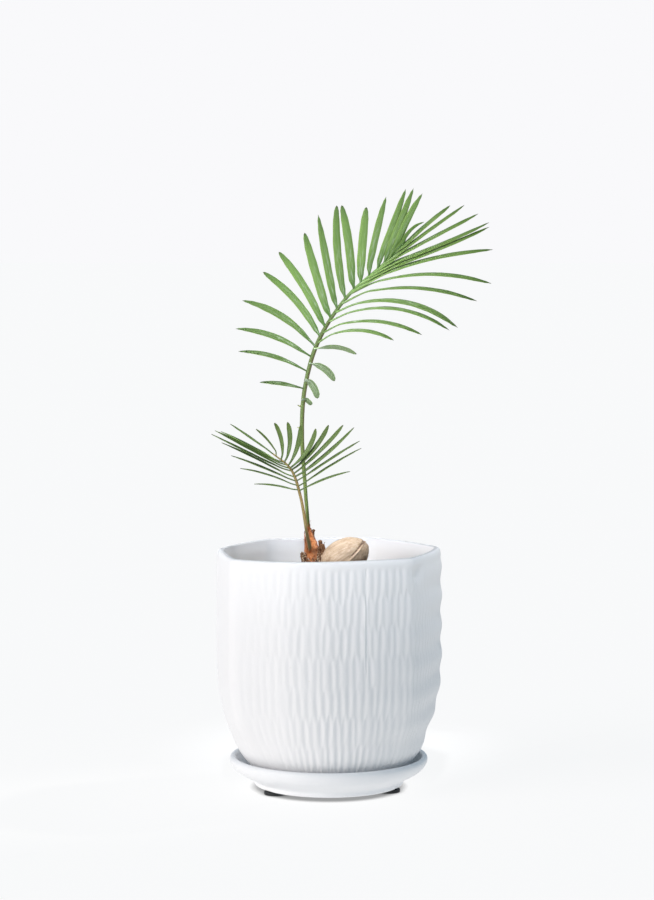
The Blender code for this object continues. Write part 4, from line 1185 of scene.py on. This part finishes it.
# Thorns on the tall stalk: (height, how far it reaches, hook upwards)
THORNS = [(261.6, 3.3, 0.9), (247.3, 2.9, 0.5), (187.4, 0.9, 0.3), (191.5, 0.7, 0.2), (199.0, 0.6, 0.2)]
stalk_lines = {}
for frond, stalk in STALKS.items():
    rings = cad_rings(f"{frond}_rachis", lambda vert: vert.co.z)
    stem_rings = rings[1:-9]
    centres = [middle(ring) for ring in stem_rings]
    if stalk["foot"]:
        kept = [centre for centre in centres if centre.z > stalk["foot"][-1][2] * MM + 4 * MM]
        centres = [in_pot(point) for point in stalk["foot"]] + kept
    line = smooth_line(centres, stalk["pieces"])
    stalk_lines[frond] = line
    bm = bmesh.new()
    layers = (bm.verts.layers.float_vector.new("grain"), bm.verts.layers.float_vector.new("blade_share"),
              bm.verts.layers.float.new("tint_and_painted_light"))
    low_foot = line[-stalk["terminal_start"]] + Vector((0, -0.9, 0)) * MM
    add_blade(bm, layers, trimmed(blade_frames([[low_foot]] + rings[-9:], 40, False), *stalk["terminal_trim"]),
              stalk["terminal"], stalk["half_width"], 3, stalk["terminal_foot"])
    for face in bm.faces:
        face.material_index += 1

    def stalk_section(share, turn):
        """A stalk: nearly round, thicker at its foot, and uneven under the skin."""
        reach = between(stalk["thick"], share) * (1 + 0.05 * noise.noise(Vector((share * 40, turn, 3))))
        return reach * math.cos(turn), reach * math.sin(turn) * 0.92

    for vert, share, turn in add_limb(bm, frames_along(line), 16, stalk_section):
        vert[layers[1]] = Vector((share, math.cos(turn), 0))
    if frond == "tall_frond":
        for height, reach, hook in THORNS:
            root = min(line, key=lambda point: abs(point.z - height * MM))
            side = -1 if reach > 1 else 1
            points = [root, root + Vector((side * reach * 0.55, -0.3, 0.1)) * MM,
                      root + Vector((side * (reach + 0.6), -0.5, hook)) * MM]
            thorn_line = smooth_line(points, 10)
            laid = add_limb(bm, frames_along(thorn_line), 8,
                            lambda share, turn: (1.1 * (1 - share) ** 0.85 * math.cos(turn),
                                                 1.1 * (1 - share) ** 0.85 * math.sin(turn)))
            for vert, share, turn in laid:
                vert[layers[1]] = Vector((0.5, -1, 0))
                vert[layers[2]] = 0.15 + 0.35 * share
    finish_piece(f"{frond}_stalk", bm, [stalk["skin"], stalk["upper"], stalk["underside"]],
                 [f"{frond}_rachis"], 70)


# ---------------------------------------------------------------- Leaflets
# Each frond carries two rows of leathery leaflets. Every leaflet is one stiff blade with a midrib, and its
# narrow foot grows out of the stalk. The lowest ones on the tall frond turn their pale undersides outwards.
# Feet: (last leaflet, how far they run down the stalk in millimetres, how far to its front, how far across,
# how thick half their foot is)
# Trims: (turn in degrees, longer by millimetres, wider by, lean, how bright: partly the leaflet's own tone, partly
# painted light and shade)
ROWS = [
    {"frond": "tall_frond", "row": "left", "widths": [(4, TAPER), (7, STRAP), (8, POINTED), (11, STRAP), (99, POINTED)],
     "half_width": 2.65, "turned": 0, "skins": [tall_left_upper, tall_under],
     "feet": [(13, 1.0, 0.3, 0.2, 0.6), (14, 3.0, 0.3, 0.2, 0.6), (15, 6.5, 0.4, 0.2, 0.6), (16, 12.0, 1.2, 0.0, 0.6)],
     "trims": {1: (0.8, -2, 0.8, None, 0.3), 2: (1.3, -1.6, 0.8, None, 0.5),
               3: (0.5, -1.1, 0.94, None, 0.6), 4: (1.3, -1.9, 1.04, None, 0.7),
               5: (0.1, -1.1, 1, None, 0.85), 6: (-0.7, 0.1, 1.1, None, 1),
               7: (-1.8, -0.4, 1.2, None, 1), 8: (-0.7, 1.2, 1.15, None, 1),
               9: (-1, -0.7, 1.1, None, 1), 10: (0.2, -1.3, 1.2, None, 1),
               11: (-0.8, -0.8, 1.12, None, 1), 12: (-0.7, 0.1, 1, None, 1),
               13: (-1.9, -0.8, 1, None, 1), 14: (-1.5, -1.2, 1, None, 1),
               15: (-2.6, -2.6, 0.95, None, 1), 16: (-4.5, -1.5, 1, None, 1)}},
    {"frond": "tall_frond", "row": "right", "widths": [(2, BUD), (4, SPOON), (10, LANCE), (99, BROAD_FOOT)], "half_width": 2.6,
     "turned": 4, "skins": [tall_right_upper, tall_under],
     "feet": [(2, 0.0, 0.95, -0.9, 0.6), (4, 0.0, 1.0, -0.7, 0.6), (8, 4.0, 1.0, 0.1, 0.66), (10, 8.0, 1.1, 0.1, 0.8), (99, 14.0, 1.3, 0.0, 0.98)],
     "trims": {1: (1.7, -0.4, 0.7, None, 0.8), 2: (-4, -1.2, 0.95, None, 0.85),
               3: (-2.3, -1.1, 0.95, None, 0.85), 4: (0, 0, 1.1, None, 1.6),
               5: (-2.1, 0.4, 0.95, None, 0.7), 6: (-1.6, 0, 1, None, 0.78),
               7: (-3.1, -0.3, 1.05, None, 0.8), 8: (-2.5, -0.1, 1.1, None, 0.8),
               9: (-1.6, 1.6, 1, None, 0.85), 10: (-0.9, 0.9, 1, None, 1),
               11: (-0.5, 1.5, 0.95, None, 1), 12: (1.2, 1.4, 0.9, None, 1),
               13: (0.7, 1.8, 0.9, None, 1), 14: (0.1, 2.7, 0.85, None, 1),
               15: (-0.1, 1.9, 0.85, None, 1)}},
    {"frond": "small_frond", "row": "left", "widths": [(99, NEEDLE)], "half_width": 1.85, "turned": 0,
     "skins": [small_upper, small_under], "feet": [(99, 0.8, 0.3, 0.3, 0.42)],
     "trims": {1: (1.4, -1.1, 1, 18, 0.75), 2: (0, -1.7, 1, 18, 0.75), 3: (0.7, -1.9, 1, 26, 0.7),
               4: (-0.5, -1.2, 1, 24, 1.25), 5: (0.6, -1.6, 1, 24, 1.25),
               6: (0.4, -0.8, 1, 26, 1.7), 7: (1.6, -0.7, 1, 26, 1.7), 8: (2.7, 1.3, 1, 26, 1.7)}},
    {"frond": "small_frond", "row": "right", "widths": [(4, NEEDLE), (99, PADDLE)], "half_width": 2.15,
     "turned": 0, "skins": [small_upper, small_under], "feet": [(99, 0.8, 0.5, 0.2, 0.45)],
     "trims": {1: (-0.8, -1, 0.95, None, 0.62), 2: (0.5, -0.7, 0.95, None, 0.62),
               3: (0, 0, 1, None, 0.62), 4: (1.7, -0.3, 0.95, None, 0.68),
               5: (0.5, 0.4, 0.84, None, 0.7), 6: (2.8, -1, 0.88, None, 0.72),
               7: (3.7, -0.2, 0.88, None, 0.76), 8: (4.3, -1.8, 0.85, None, 0.82),
               9: (5.3, -1, 0.85, None, 0.92), 10: (5.6, -0.9, 0.85, None, 0.95),
               11: (6.2, 1, 0.62, None, 1.1)}}]


for row_number, row in enumerate(ROWS):
    stalk_line = stalk_lines[row["frond"]]

    def near_stalk(vert):
        """How near a CAD leaflet's end is to the stalk. Only its two ends have four edges."""
        if len(vert.link_edges) != 4:
            return 1.0
        return min((vert.co - point).length for point in stalk_line)

    stem = f"{row['frond']}_{row['row']}_leaflet_"
    names = sorted(name for name in frame["nodes"] if name.startswith(stem))
    for number, name in enumerate(names, 1):
        rings = cad_rings(name, near_stalk)
        foot = rings[0][0]
        joint = min(range(len(stalk_line)), key=lambda spot: (stalk_line[spot] - foot).length)
        run_down, before, beside, foot_thick = next(feet[1:] for feet in row["feet"] if number <= feet[0])
        outwards = (foot - stalk_line[joint]).normalized()
        while joint > 1 and (stalk_line[joint] - foot).length < run_down * MM:
            joint -= 1
        thick = between(STALKS[row["frond"]]["thick"], joint / (len(stalk_line) - 1))
        rings[0] = [stalk_line[joint] + (outwards * beside * thick + Vector((0, -before * thick, 0))) * MM]
        turn, stretch, wider, lean, shade = row["trims"][number]
        frames = trimmed(blade_frames(rings, 40, number <= row["turned"]), turn, stretch, lean)
        bm = bmesh.new()
        layers = (bm.verts.layers.float_vector.new("grain"), bm.verts.layers.float_vector.new("blade_share"),
                  bm.verts.layers.float.new("tint_and_painted_light"))
        widths = next(profile for last, profile in row["widths"] if number <= last)
        add_blade(bm, layers, frames, widths, row["half_width"] * wider, row_number * 100 + number,
                  foot_thick, shade)
        finish_piece(name.replace("leaflet", "blade"), bm, row["skins"], [name], 70)
